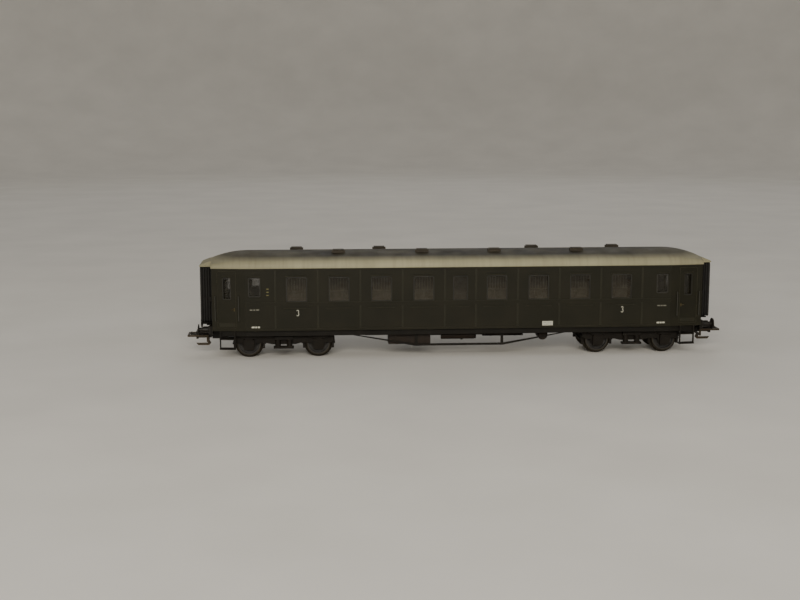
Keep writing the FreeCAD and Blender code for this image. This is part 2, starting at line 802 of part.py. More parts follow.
def make_end(end, sign):
    """Headstock, buffers, gangway bellows, foot plate and lamp brackets of one end."""
    middle = f"{sign} * (body_half + headstock_thickness / 2)"
    notch = "headstock_notch_half"
    corners = [
        ("-headstock_half_width", "headstock_bottom"), (f"-{notch}", "headstock_bottom"),
        (f"-{notch}", "headstock_notch_top"), (notch, "headstock_notch_top"), (notch, "headstock_bottom"),
        ("headstock_half_width", "headstock_bottom"), ("headstock_half_width", "headstock_top"),
        ("-headstock_half_width", "headstock_top"),
    ]
    keep(prism(f"headstock_{end}_plate", corners, "headstock_thickness", ON_YZ, x=middle),
         f"headstock_{end}")
    start = "(body_half + headstock_thickness)"
    length = f"(buffer_face - {start})"
    plunger_end = f"({length} - buffer_head_thickness)"
    for side, side_sign in SIDES.items():
        # The left buffer head is crowned and the right one flat, as seen from inside the coach.
        crown = "buffer_crown" if side_sign == sign else "0"
        profile = [
            ("buffer_base_thickness / 2", "0"), (length, "0"),
            (f"{length} - 0.15 * {crown}", "0.4 * buffer_head_radius"),
            (f"{length} - {crown}", "buffer_head_radius - 0.15"),
            (f"{plunger_end} + 0.1", "buffer_head_radius"),
            (plunger_end, "buffer_head_radius - 0.2"), (plunger_end, "buffer_plunger_radius"),
            ("buffer_sleeve_length", "buffer_plunger_radius"),
            ("buffer_sleeve_length", "buffer_sleeve_radius"),
            ("0.35 * buffer_sleeve_length", "buffer_sleeve_radius"),
            ("0.2 * buffer_sleeve_length", "1.2 * buffer_sleeve_radius"),
            ("buffer_base_thickness / 2", "1.25 * buffer_sleeve_radius"),
        ]
        across = f"{side_sign} * buffer_spacing_half"
        stem = turned(f"buffer_{end}_{side}_stem", profile, FORWARD[sign], f"{sign} * ({start})", across,
                      "buffer_height")
        base = box(f"buffer_{end}_{side}_base", "buffer_base_thickness", "buffer_base", "buffer_base",
                   f"{sign} * ({start} + buffer_base_thickness / 2)", across,
                   "buffer_height - buffer_base / 2")
        keep(fused(f"buffer_{end}_{side}_whole", [stem, base]), f"buffer_{end}_{side}")
    bellows_middle = f"{sign} * (body_half + bellows_depth / 2)"
    folds = []
    for number in range(BELLOWS_FOLDS):
        fold_middle = f"{sign} * (body_half + bellows_depth * {(number + 0.5) / BELLOWS_FOLDS})"
        folds.append(box(f"bellows_{end}_fold_{number}", f"0.6 * bellows_depth / {BELLOWS_FOLDS}",
                         "2 * bellows_half_width", "bellows_top - bellows_bottom", fold_middle, "0",
                         "bellows_bottom"))
    core = box(f"bellows_{end}_core", "bellows_depth", "2 * bellows_half_width - 0.8",
               "bellows_top - bellows_bottom - 0.4", bellows_middle, "0", "bellows_bottom")
    passage = box(f"bellows_{end}_passage", "2 * bellows_depth", "2 * (bellows_half_width - bellows_wall)",
                  "bellows_top - bellows_bottom - bellows_wall", bellows_middle, "0",
                  "bellows_bottom - 0.01")
    keep(cut(f"bellows_{end}", fused(f"bellows_{end}_folds", [core] + folds), passage),
         f"gangway_bellows_{end}")
    keep(box(f"footplate_{end}", "footplate_length", "2 * footplate_half", "footplate_thickness",
             f"{sign} * (body_half + footplate_length / 2)", "0", "headstock_top"),
         f"gangway_footplate_{end}")


def make_fittings():
    """Entrance steps, door handrails and lamp brackets."""
    steps = []
    rails = []
    brackets = []
    for end, end_sign in ENDS.items():
        for side, sign in SIDES.items():
            tag = f"{end}_{side}"
            first, last = "(door_middle - step_length / 2)", "(door_middle + step_length / 2)"
            pieces = []
            for number, height in enumerate(("step_bottom", "(step_bottom + body_bottom) / 2 + 0.3")):
                corners = [
                    (f"{end_sign} * {first}", f"{sign} * ({side_at(first)} - step_depth)"),
                    (f"{end_sign} * {last}", f"{sign} * ({side_at(last)} - step_depth)"),
                    (f"{end_sign} * {last}", f"{sign} * {side_at(last)}"),
                    (f"{end_sign} * {first}", f"{sign} * {side_at(first)}"),
                ]
                pieces.append(prism(f"board_{tag}_{number}", corners, "step_board", UPRIGHT, z=height))
            for number, place_x in enumerate((f"({first} + 0.4)", f"({last} - 0.4)")):
                pieces.append(box(f"hanger_{tag}_{number}", "step_hanger", "step_hanger_depth",
                                  "body_bottom - step_bottom",
                                  f"{end_sign} * {place_x}", f"{sign} * ({side_at(place_x)} - 0.45)",
                                  "step_bottom"))
            steps.append(fused(f"steps_{tag}", pieces))
            for number, offset in enumerate((-1, 1)):
                x = f"(door_middle + {offset} * (door_half + 0.9))"
                y = f"{sign} * ({side_at(x)} + handrail_radius + handrail_gap)"
                bar = rod(f"rail_{tag}_{number}", "handrail_radius", "handrail_height", f"{end_sign} * {x}",
                          y,
                          "sill_height - handrail_drop")
                stays = [box(f"stay_{tag}_{number}_{stay}", "handrail_stay", "handrail_stay_length",
                             "handrail_stay", f"{end_sign} * {x}",
                             f"{sign} * ({side_at(x)} + 0.4)",
                             f"sill_height - handrail_drop + {lift} * handrail_height")
                         for stay, lift in enumerate((0.04, 0.92))]
                rails.append(fused(f"handrail_{tag}_{number}", [bar] + stays))
            brackets.append(box(f"bracket_{tag}", "lamp_bracket", "lamp_bracket", "1.4 * lamp_bracket",
                                f"{end_sign} * (body_half + lamp_bracket / 2)",
                                f"{sign} * lamp_bracket_offset", "sill_height"))
    keep(group("steps", steps), "entrance_steps")
    keep(group("rails", rails), "door_handrails")
    keep(group("brackets", brackets), "lamp_brackets")


def make_equipment():
    """Everything that hangs under the floor between the bogies."""
    floor = "body_bottom"
    for side, sign in SIDES.items():
        x, y = f"{sign} * battery_along", f"{sign} * battery_across"
        case = box(f"battery_{side}_case", "battery_length", "battery_width", "battery_height", x, y,
                   f"{floor} - battery_drop - battery_height")
        lid = box(f"battery_{side}_lid", "battery_length + 0.6", "battery_width + 0.4", "battery_lid", x, y,
                  f"{floor} - battery_lid_drop")
        straps = [box(f"battery_{side}_strap_{number}", "battery_strap", "battery_width + 0.7",
                      "battery_height + battery_drop",
                      f"{x} + {offset} * battery_length / 2", y, f"{floor} - battery_height - battery_drop")
                  for number, offset in enumerate((-0.6, 0.6))]
        keep(fused(f"battery_{side}", [case, lid] + straps), f"battery_box_{side}")
    cylinder = rod("cylinder_barrel", "brake_cylinder_radius", "brake_cylinder_length", "cylinder_start",
                   "cylinder_across", "cylinder_height", ALONG_X)
    cover = rod("cylinder_cover", "brake_cylinder_radius + 0.5", "cylinder_cover", "cylinder_start - 0.4",
                "cylinder_across", "cylinder_height", ALONG_X)
    ram = rod("cylinder_ram_bar", "ram_radius", "cylinder_ram", "cylinder_start + brake_cylinder_length",
              "cylinder_across", "cylinder_height", ALONG_X)
    saddle = box("cylinder_saddle", "3.0", "2.0", f"{floor} - cylinder_height", "cylinder_start + 3.2",
                 "cylinder_across", "cylinder_height")
    keep(fused("cylinder_whole", [cylinder, cover, ram, saddle]), "brake_cylinder")
    tanks = []
    for number, (x, y) in enumerate((("-8", "-tank_across"), ("-7", "tank_across"))):
        tank = rod(f"tank_{number}", "reservoir_radius", "reservoir_length", x, y, "tank_height", ALONG_X)
        hangers = [box(f"tank_{number}_hanger_{side}", "tank_hanger", "2 * tank_hanger",
                       f"{floor} - tank_height", f"{x} + (0.5 + {side} * 0.3) * reservoir_length", y,
                       "tank_height") for side in (-1, 1)]
        tanks.append(fused(f"tank_{number}_whole", [tank] + hangers))
    keep(group("tanks", tanks), "air_reservoirs")
    drum = rod("generator_drum", "generator_radius", "generator_length", "generator_along",
               "generator_across", "generator_height", ALONG_Y)
    pulley = rod("generator_pulley", "generator_radius - 0.6", "generator_pulley",
                 "generator_along", "generator_across - 1.2", "generator_height", ALONG_Y)
    shaft = rod("generator_shaft", "ram_radius", "1.6", "generator_along", "generator_across - 1.1",
                "generator_height", ALONG_Y)
    arm = box("generator_arm", "generator_arm", "generator_arm + 0.2", f"{floor} - generator_height",
              "generator_along", "generator_across + generator_length / 2", "generator_height")
    keep(fused("generator", [drum, pulley, shaft, arm]), "axle_generator")
    pipe = rod("pipe_run", "pipe_radius", "2 * pipe_half", "-pipe_half", "pipe_across", "pipe_height",
               ALONG_X)
    clips = [box(f"pipe_clip_{number}", "0.8", "1.8", f"{floor} - pipe_height",
                 f"{number} * pipe_clip_pitch", "pipe_across", "pipe_height")
             for number in range(-3, 4)]
    keep(fused("pipe", [pipe] + clips), "steam_pipe")
    pull_rod = rod("pull_rod", "pull_rod_radius", "2 * pull_rod_half", "-pull_rod_half", "pull_rod_across",
                   "pull_rod_height", ALONG_X)
    levers = [box(f"lever_{number}", "lever_width", "9.0" if number else "7.0", "0.8", x,
                  "pull_rod_across", "pull_rod_height - 0.4")
              for number, x in enumerate(("13.5", "-30", "30"))]
    stays = [box(f"rigging_stay_{number}", "lever_width", "lever_width", f"{floor} - pull_rod_height",
                 f"{number} * rigging_stay_pitch", "pull_rod_across", "pull_rod_height")
             for number in (-1, 0, 1)]
    keep(fused("rigging", [pull_rod] + levers + stays), "brake_rigging")
    frames = []
    for side, sign in SIDES.items():
        low, high = "truss_bottom", "truss_bottom + truss_bar"
        drop = "body_bottom - solebar_depth"
        corners = [
            ("-truss_half - 1", drop), ("-truss_post", low), ("truss_post", low), ("truss_half + 1", drop),
            ("truss_half - 0.6", drop), ("truss_post - 0.2", high), ("-truss_post + 0.2", high),
            ("-truss_half + 0.6", drop),
        ]
        bar = prism(f"truss_{side}_bar", corners, "truss_width", ON_XZ, y=f"{sign} * truss_offset")
        posts = [box(f"truss_{side}_post_{number}", "1.2", "truss_width", f"{floor} - truss_bottom - 0.2",
                     f"{number} * (truss_post - 0.6)", f"{sign} * truss_offset", "truss_bottom + 0.2")
                 for number in (-1, 1)]
        feet = [box(f"truss_{side}_foot_{number}", "2.4", "truss_width", "solebar_depth + 0.3",
                    f"{number} * (truss_half + 0.2)", f"{sign} * truss_offset", f"{drop} - 0.3")
                for number in (-1, 1)]
        frames.append(fused(f"truss_{side}", [bar] + posts + feet))
    keep(group("trusses", frames), "truss_frames")


def make_bogie(end, sign):
    """The moulded frame of one bogie, the screw that it turns on, and its brake gear."""
    pivot = f"{sign} * pivot_middle"
    bottom = "(side_frame_top - side_frame_depth)"
    half_outline = [
        ("frame_belly_half", "frame_belly_bottom"), ("frame_belly_root", bottom),
        ("wheelbase / 2 - pedestal_root", bottom), ("wheelbase / 2 - pedestal_half", "pedestal_bottom"),
        ("wheelbase / 2 + pedestal_half", "pedestal_bottom"), ("wheelbase / 2 + pedestal_root", bottom),
        ("side_frame_half - 1.2", bottom),
        ("side_frame_half", f"{bottom} + 0.8"), ("side_frame_half", "side_frame_top"),
    ]
    corners = half_outline + [(f"-({x})", z) for x, z in reversed(half_outline)]
    pieces = [box(f"bolster_{end}", "2 * bolster_half_length", "2 * side_frame_inner + 0.4",
                  "bolster_top - bolster_bottom", pivot, "0", "bolster_bottom")]
    pieces.append(rod(f"pivot_boss_{end}", "pivot_boss_radius", "pivot_boss_top - bolster_bottom - 0.2",
                      pivot, "0",
                      "bolster_bottom + 0.2"))
    bores = [rod(f"screw_bore_{end}", "screw_radius + running_gap", "8", pivot, "0", "7")]
    face = "side_frame_inner + side_frame_thickness"
    axle = "flange_depth + tread_radius"
    for side, side_sign in SIDES.items():
        tag = f"{end}_{side}"
        middle = f"{side_sign} * (side_frame_inner + side_frame_thickness / 2)"
        pieces.append(prism(f"side_plate_{tag}", corners, "side_frame_thickness", ON_XZ, x=pivot, y=middle))
        for number in (-1, 1):
            x = f"({pivot} + {number} * wheelbase / 2)"
            y = f"{side_sign} * ({face} + axle_box_depth / 2 - 0.1)"
            pieces.append(box(f"axle_box_{tag}_{number}", "axle_box_length", "axle_box_depth + 0.2",
                              "axle_box_height", x, y, f"{axle} - axle_box_height / 2"))
            pieces.append(box(f"axle_box_cap_{tag}_{number}", "axle_box_length - 1.4",
                              "axle_box_depth + 0.6",
                              "axle_box_height - 1.6", x, y, f"{axle} - axle_box_height / 2 + 0.8"))
            for leaf, length in enumerate(SPRING_LEAVES):
                pieces.append(box(f"leaf_{tag}_{number}_{leaf}", f"{length}", "leaf_width",
                                  "leaf_thickness", x,
                                  f"{side_sign} * ({face} + 0.45)",
                                  f"{axle} + axle_box_height / 2 - 0.1 + {leaf} * leaf_pitch"))
            bores.append(rod(f"bearing_{tag}_{number}", "stub_radius + running_gap", "axle_half + 0.1 - 10",
                             x,
                             "10" if side_sign > 0 else "-axle_half - 0.1", axle, ALONG_Y))
        for number in (-1, 1):
            pieces.append(rod(f"bolster_spring_{tag}_{number}", "bolster_spring_radius",
                              "bolster_spring_length",
                              f"{pivot} + {number} * bolster_spring_offset",
                              f"{side_sign} * ({face} + 0.6)", "bolster_spring_bottom"))
        pieces.append(box(f"spring_plank_{tag}", "plank_length", "plank_width", "plank_thickness", pivot,
                          f"{side_sign} * ({face} + 0.5)", "plank_bottom"))
        pieces.append(box(f"bolster_end_{tag}", "bolster_end_length", "bolster_end_width",
                          "bolster_end_height",
                          pivot, f"{side_sign} * ({face} + 0.4)", "bolster_end_bottom"))
    keep(cut(f"bogie_{end}_frame", fused(f"bogie_{end}_casting", pieces),
             fused(f"bogie_{end}_bores", bores)),
         f"bogie_frame_{end}")
    head = rod(f"screw_{end}_head", "screw_head_radius", "screw_head_height", pivot, "0",
               "bolster_bottom - 0.1 - screw_head_height")
    shank = rod(f"screw_{end}_shank", "screw_radius",
                "body_bottom + floor_thickness - bolster_bottom + 0.1", pivot,
                "0", "bolster_bottom - 0.1")
    slot = box(f"screw_{end}_slot", "3 * screw_head_radius", "0.5", "0.4", pivot, "0",
               "bolster_bottom - 0.1 - screw_head_height")
    keep(cut(f"screw_{end}", fused(f"screw_{end}_blank", [head, shank]), slot), f"bogie_screw_{end}")
    shoes = []
    reach = "(tread_radius + shoe_gap + shoe_thickness / 2)"
    beam_reach = "(tread_radius + shoe_gap + shoe_thickness + beam_radius / 2)"
    for wheel in (-1, 1):
        for way in (-1, 1):
            tag = f"{end}_{wheel}_{way}"
            x = f"({pivot} + {wheel} * wheelbase / 2 + {way} * {reach})"
            beam_x = f"({pivot} + {wheel} * wheelbase / 2 + {way} * {beam_reach})"
            gear = [rod(f"brake_beam_{tag}", "beam_radius", "2 * shoe_middle", beam_x, "-shoe_middle", axle,
                        ALONG_Y)]
            for side, side_sign in SIDES.items():
                y = f"{side_sign} * shoe_middle"
                gear.append(box(f"shoe_{tag}_{side}", "shoe_thickness", "shoe_width", "shoe_height", x, y,
                                f"{axle} - shoe_height / 2"))
                gear.append(box(f"hanger_{tag}_{side}", "0.7", "0.6", "side_frame_top - 6.5", x, y, axle))
                gear.append(box(f"hanger_lug_{tag}_{side}", "0.9", "side_frame_inner - shoe_middle", "0.8",
                                x,
                                f"{side_sign} * (side_frame_inner + shoe_middle) / 2",
                                "side_frame_top - 0.8"))
            shoes.append(fused(f"brake_{tag}", gear))
    rims = [rod(f"shoe_clearance_{end}_{wheel}", "tread_radius + shoe_gap", "24",
                f"{pivot} + {wheel} * wheelbase / 2", "-12", axle, ALONG_Y) for wheel in (-1, 1)]
    keep(cut(f"brake_gear_{end}", group(f"brakes_{end}", shoes), fused(f"shoe_clearance_{end}", rims)),
         f"brake_shoes_{end}")


def make_wheelset(number, x):
    """One axle with pin ends and its two flanged wheels."""
    axle = "flange_depth + tread_radius"
    profile = [
        ("-axle_half", "0"), ("axle_half", "0"), ("axle_half", "stub_radius - 0.15"),
        ("axle_half - 0.2", "stub_radius"), ("axle_shoulder", "stub_radius"),
        ("axle_shoulder", "axle_radius"),
        ("-axle_shoulder", "axle_radius"), ("-axle_shoulder", "stub_radius"),
        ("-axle_half + 0.2", "stub_radius"), ("-axle_half", "stub_radius - 0.15"),
    ]
    keep(turned(f"axle_{number}_shaft", profile, ACROSS[1], x, "0", axle), f"axle_{number}")
    rim = "tread_radius - rim_depth"
    flange = "tread_radius + flange_depth"
    profile = [
        ("0", "axle_radius"), ("0", "hub_radius"), ("0.5", "hub_radius + 0.2"), ("0.6", f"{rim} - 0.1"),
        ("0", rim),
        ("0", f"{flange} - 0.4"), ("0.2", flange), ("0.5", flange), ("flange_width", "tread_radius + 0.25"),
        ("flange_width + 0.25", "tread_radius + 0.05"), ("wheel_width - 0.2", "tread_radius - 0.06"),
        ("wheel_width", "tread_radius - 0.25"), ("wheel_width", rim), ("1.9", f"{rim} - 0.1"),
        ("1.6", "hub_radius + 0.2"),
        ("wheel_width - 0.2", "hub_radius - 0.1"), ("wheel_width - 0.2", "axle_radius"),
    ]
    wheels = [turned(f"wheel_{number}_{side}", profile, ACROSS[sign], x, f"{sign} * wheel_back", axle)
              for side, sign in SIDES.items()]
    keep(group(f"wheel_pair_{number}", wheels), f"wheels_{number}")


def make_coupler(end, sign):
    """Guide, sliding shoe, drawbar with pocket, coupling head, loop and spring of one end."""
    pivot = f"{sign} * coupler_pivot"
    guide_middle = f"{sign} * (coupler_pivot + guide_offset)"
    plate = box(f"guide_{end}_plate", "guide_length", "2 * guide_half_width", "guide_thickness",
                guide_middle, "0",
                "body_bottom - guide_thickness")
    slot = box(f"guide_{end}_slot", "boss_length + coupler_stretch + 5.2", "guide_slot_width",
               "3 * guide_thickness",
               f"{sign} * (coupler_pivot + coupler_stretch / 2 - 2.5)", "0",
               "body_bottom - 2 * guide_thickness")
    keep(cut(f"guide_{end}", plate, slot), f"coupler_guide_{end}")
    disc_bottom = "(body_bottom - guide_thickness - 0.1 - shoe_disc_thickness)"
    disc = rod(f"coupler_shoe_{end}_disc", "shoe_disc_radius", "shoe_disc_thickness", pivot, "0",
               disc_bottom)
    boss = box(f"coupler_shoe_{end}_boss", "boss_length", "guide_slot_width - 0.2", "guide_thickness",
               pivot, "0",
               "body_bottom - guide_thickness - 0.15")
    pin = rod(f"coupler_shoe_{end}_pin", "shoe_pin_radius", f"{disc_bottom} - coupler_height - 0.4", pivot,
              "0",
              "coupler_height + 0.4")
    keep(fused(f"coupler_shoe_{end}_whole", [disc, boss, pin]), f"coupler_shoe_{end}")
    top = f"({disc_bottom} - 0.15)"
    eye = rod(f"eye_{end}", "eye_radius", "eye_thickness", pivot, "0", f"{top} - eye_thickness")
    pocket_outer = box(f"pocket_{end}_outer", "pocket_depth + pocket_wall",
                       "pocket_width + 2 * pocket_wall",
                       "pocket_opening + 2 * pocket_wall",
                       f"{sign} * (pocket_front - (pocket_depth + pocket_wall) / 2)", "0",
                       "coupler_height - pocket_opening / 2 - pocket_wall")
    neck = box(f"neck_{end}", "neck_length", "pocket_width", "eye_thickness",
               f"{sign} * (coupler_pivot + 2.0)", "0",
               f"{top} - eye_thickness")
    hollow = box(f"pocket_{end}_hollow", "2 * pocket_depth", "pocket_width", "pocket_opening",
                 f"{sign} * pocket_front", "0", "coupler_height - pocket_opening / 2")
    bore = rod(f"eye_{end}_bore", "shoe_pin_radius + running_gap", "6", pivot, "0", "8")
    keep(cut(f"drawbar_{end}", fused(f"drawbar_{end}_blank", [eye, pocket_outer, neck]),
             fused(f"drawbar_{end}_hollows", [hollow, bore])), f"coupler_drawbar_{end}")
    head_start = "(pocket_front + 0.3)"
    shank = box(f"shank_{end}", "pocket_depth + 0.2", "pocket_width - 2 * shank_gap",
                "pocket_opening - 2 * shank_gap", f"{sign} * ({head_start} - pocket_depth / 2 + 0.1)", "0",
                "coupler_height - pocket_opening / 2 + shank_gap")
    nose = f"({head_start} + head_length)"
    block = box(f"head_{end}_block", "head_length", "head_width", "head_height",
                f"{sign} * ({head_start} + head_length / 2)", "0", "coupler_height - head_height / 2")
    face = box(f"head_{end}_face", "head_plate_thickness", "2 * head_plate_half", "head_plate_height",
               f"{sign} * ({nose} + head_plate_thickness / 2)", "0",
               "coupler_height - head_plate_height / 2")
    hook_corners = [
        (f"{sign} * {nose}", "coupler_height - 1.0"), (f"{sign} * ({nose} + 3.0)", "coupler_height - 0.8"),
        (f"{sign} * ({nose} + hook_reach)", "coupler_height - 0.2"),
        (f"{sign} * ({nose} + hook_reach)", "coupler_height + 1.0"),
        (f"{sign} * ({nose} + 2.9)", "coupler_height + 1.0"),
        (f"{sign} * ({nose} + 2.5)", "coupler_height + 0.3"),
        (f"{sign} * {nose}", "coupler_height + 0.3"),
    ]
    hook = prism(f"hook_{end}", hook_corners, "hook_width", ON_XZ)
    rod_height = "coupler_height - 0.2"
    hinge_hole = rod(f"head_{end}_hole", "loop_rod_radius + running_gap", "20", f"{sign} * loop_pivot",
                     "-10",
                     rod_height, ALONG_Y)
    keep(cut(f"head_{end}", fused(f"head_{end}_blank", [shank, block, face, hook]), hinge_hole),
         f"coupling_head_{end}")
    hinge = rod(f"loop_{end}_hinge", "loop_rod_radius", "2 * loop_half_width - 0.4", f"{sign} * loop_pivot",
                "-loop_half_width + 0.2", rod_height, ALONG_Y)
    arm_length = "(loop_front - loop_pivot + 1.6)"
    pieces = [hinge]
    for side, side_sign in SIDES.items():
        y = f"{side_sign} * (loop_half_width - loop_bar / 2)"
        pieces.append(box(f"loop_{end}_arm_{side}", arm_length, "loop_bar", "loop_bar",
                          f"{sign} * (loop_front - {arm_length} / 2)", y, f"{rod_height} - loop_bar / 2"))
        pieces.append(box(f"loop_{end}_drop_{side}", "loop_bar", "loop_bar", "loop_drop",
                          f"{sign} * (loop_pivot - loop_tail)", y,
                          f"{rod_height} - loop_drop"))
    pieces.append(box(f"loop_{end}_bar", "loop_bar", "2 * loop_half_width", "loop_bar",
                      f"{sign} * (loop_front - loop_bar / 2)", "0", f"{rod_height} - loop_bar / 2"))
    pieces.append(box(f"loop_{end}_rear_bar", "loop_bar", "2 * loop_half_width", "loop_bar",
                      f"{sign} * (loop_pivot - loop_tail)", "0",
                      f"{rod_height} - loop_drop - 0.2"))
    tail_corners = [
        (f"{sign} * (loop_pivot - 1.6)", "coupler_height - loop_drop"),
        (f"{sign} * (loop_pivot - 2.4)", "trip_bottom + 0.9"),
        (f"{sign} * (loop_pivot - 1.6)", "trip_bottom"), (f"{sign} * (loop_pivot + 3.4)", "trip_bottom"),
        (f"{sign} * (loop_pivot + 4.2)", "trip_bottom + 1.0"),
        (f"{sign} * (loop_pivot + 3.4)", "trip_bottom + 0.9"),
        (f"{sign} * (loop_pivot - 1.1)", "trip_bottom + 0.9"),
        (f"{sign} * (loop_pivot - 0.8)", "coupler_height - loop_drop"),
    ]
    pieces.append(prism(f"loop_{end}_trip", tail_corners, "trip_width", ON_XZ))
    keep(fused(f"loop_{end}", pieces), f"coupling_loop_{end}")
    make_spring(end, sign)


def make_spring(end, sign):
    """The coil that draws the sliding shoe back, and the post that it is hooked on."""
    coil_length = size("spring_turns") * size("spring_pitch")
    start = size("coupler_pivot") - size("boss_length") / 2 - 0.15
    line = Part.makeHelix(size("spring_pitch"), coil_length, size("spring_radius"))
    ring = Part.Wire(Part.makeCircle(size("spring_wire"), Vector(size("spring_radius"), 0, 0),
                                     Vector(0, 1, 0)))
    coil = Part.Wire(line).makePipeShell([ring], True, True)
    spring = doc.addObject("Part::Feature", f"spring_{end}_coil")
    spring.Shape = coil
    height = size("body_bottom") - size("guide_thickness") / 2
    spring.Placement = Placement(Vector(sign * (start - coil_length), 0, height),
                                 ALONG_X if sign > 0 else ALONG_BACK)
    post = rod(f"spring_{end}_post", "0.5", "guide_thickness + 0.2",
               f"{sign} * {start - coil_length - 0.8}", "0",
               "body_bottom - guide_thickness - 0.2")
    keep(group(f"spring_{end}", [spring, post]), f"coupler_spring_{end}")


def check_model():
    """Stop if any object failed to build, or any sub-part has no sound shape."""
    doc.recompute()
    for piece in doc.Objects:
        if "Invalid" in piece.State or "Error" in piece.State:
            raise ValueError(piece.Name + " failed to build")
    for piece in sub_parts:
        if piece.Shape.isNull() or not piece.Shape.isValid() or not piece.Shape.Solids:
            raise ValueError(piece.Label + " has no valid shape")


def write_parts():
    """Write every sub-part to a file named after it."""
    os.makedirs("parts", exist_ok=True)
    for piece in sub_parts:
        piece.Shape.exportStep("parts/" + piece.Label + ".step")


def main():
    fill_sheet()
    make_body_shell()
    make_roof()
    make_glazing()
    make_interior()
    make_underframe()
    make_equipment()
    make_fittings()
    for end, sign in ENDS.items():
        make_end(end, sign)
        make_bogie(end, sign)
        make_coupler(end, sign)
    wheel_places = [(end, half) for end in (1, -1) for half in (1, -1)]
    for number, (end, half) in enumerate(wheel_places, start=1):
        make_wheelset(number, f"{end} * (pivot_middle + {half} * wheelbase / 2)")
    check_model()
    write_parts()
    volume = sum(piece.Shape.Volume for piece in sub_parts)
    print("%d sub-parts, %.0f cubic millimetres" % (len(sub_parts), volume))


main()
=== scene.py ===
import math

import bmesh
import bpy
from mathutils import Matrix, Vector


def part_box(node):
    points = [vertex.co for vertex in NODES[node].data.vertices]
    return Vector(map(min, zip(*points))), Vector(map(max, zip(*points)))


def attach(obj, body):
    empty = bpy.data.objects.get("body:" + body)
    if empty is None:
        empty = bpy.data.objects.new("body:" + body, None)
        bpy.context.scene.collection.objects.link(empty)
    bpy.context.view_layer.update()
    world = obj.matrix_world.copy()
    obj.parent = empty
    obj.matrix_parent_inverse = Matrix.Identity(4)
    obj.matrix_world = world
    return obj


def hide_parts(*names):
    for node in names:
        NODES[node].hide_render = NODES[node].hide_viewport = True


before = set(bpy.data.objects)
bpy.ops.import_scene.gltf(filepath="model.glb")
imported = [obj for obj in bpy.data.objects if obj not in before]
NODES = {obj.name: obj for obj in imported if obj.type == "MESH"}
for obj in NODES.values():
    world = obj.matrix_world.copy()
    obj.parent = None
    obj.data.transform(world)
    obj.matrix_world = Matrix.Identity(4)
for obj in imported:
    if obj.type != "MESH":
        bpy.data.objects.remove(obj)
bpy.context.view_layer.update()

MM = 0.001
Z = Vector((0, 0, 1))

# The coach's own sizes, in millimetres, as in its CAD source.
RAIL_PROUD = 0.25
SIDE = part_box("body_shell")[1].y / MM - RAIL_PROUD
BODY_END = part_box("body_shell")[1].x / MM
BODY_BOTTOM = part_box("body_shell")[0].z / MM
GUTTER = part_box("roof")[0].z / MM
TAPER_START = 95.5
END_SIDE = 14.75
SILL = 26.3
WINDOW_TOP = 37.4
BELT_LOW, BELT_HIGH = SILL - 1.65, SILL - 0.15
BASE_TOP = BODY_BOTTOM + 0.9
CORNICE_LOW = GUTTER - 0.8
BAY = 18.85
MIDDLE_BAY_HALF = 7.0
DOOR_X, DOOR_HALF = 103.8, 4.3
BAY_WINDOW_HALF, MIDDLE_WINDOW_HALF = 4.6, 3.3
END_WINDOW_X, END_WINDOW_HALF, END_WINDOW_SILL = 91.6, 2.7, 28.6
DOOR_WINDOW_HALF, DOOR_WINDOW_SILL = 1.9, 27.4
BAYS = [end * (MIDDLE_BAY_HALF + BAY * (number + 0.5)) for end in (-1, 1) for number in range(4)]
JOINTS = [end * (MIDDLE_BAY_HALF + BAY * number) for end in (-1, 1) for number in range(5)]
# Every window of one side: middle, half width, bottom, top.
WINDOWS = [(x, BAY_WINDOW_HALF, SILL, WINDOW_TOP) for x in BAYS]
WINDOWS.append((0.0, MIDDLE_WINDOW_HALF, SILL, WINDOW_TOP))
WINDOWS += [(end * END_WINDOW_X, END_WINDOW_HALF, END_WINDOW_SILL, WINDOW_TOP) for end in (-1, 1)]
DOOR_WINDOWS = [(end * DOOR_X, DOOR_WINDOW_HALF, DOOR_WINDOW_SILL, WINDOW_TOP) for end in (-1, 1)]

# Heights, from the side's surface, of the back of all trim and of the faces of a printed mark.
TRIM_BACK = -0.1
PRINT_BACK, PRINT_FRONT, PRINT_CHAMFER = -0.05, 0.03, 0.01
RIVET_RADIUS = 0.13
# Where the printed marks and the three small yellow marks stand.
CLASS_Z = 21.4
LOWER_PRINT_X, LOWER_PRINT_Z = 91.2, 15.1
UPPER_PRINT_Z = 22.9
PANEL_X, PANEL_Z = 39.5, 15.4
YELLOW_MARK_X, YELLOW_MARK_Z = 85.8, 29.4


# ---------------------------------------------------------------- materials

def srgb(red, green, blue):
    """A linear colour from the usual 0 to 255 numbers."""
    linear = []
    for value in (red, green, blue):
        value /= 255
        linear.append(value / 12.92 if value <= 0.04045 else ((value + 0.055) / 1.055) ** 2.4)
    return (*linear, 1.0)


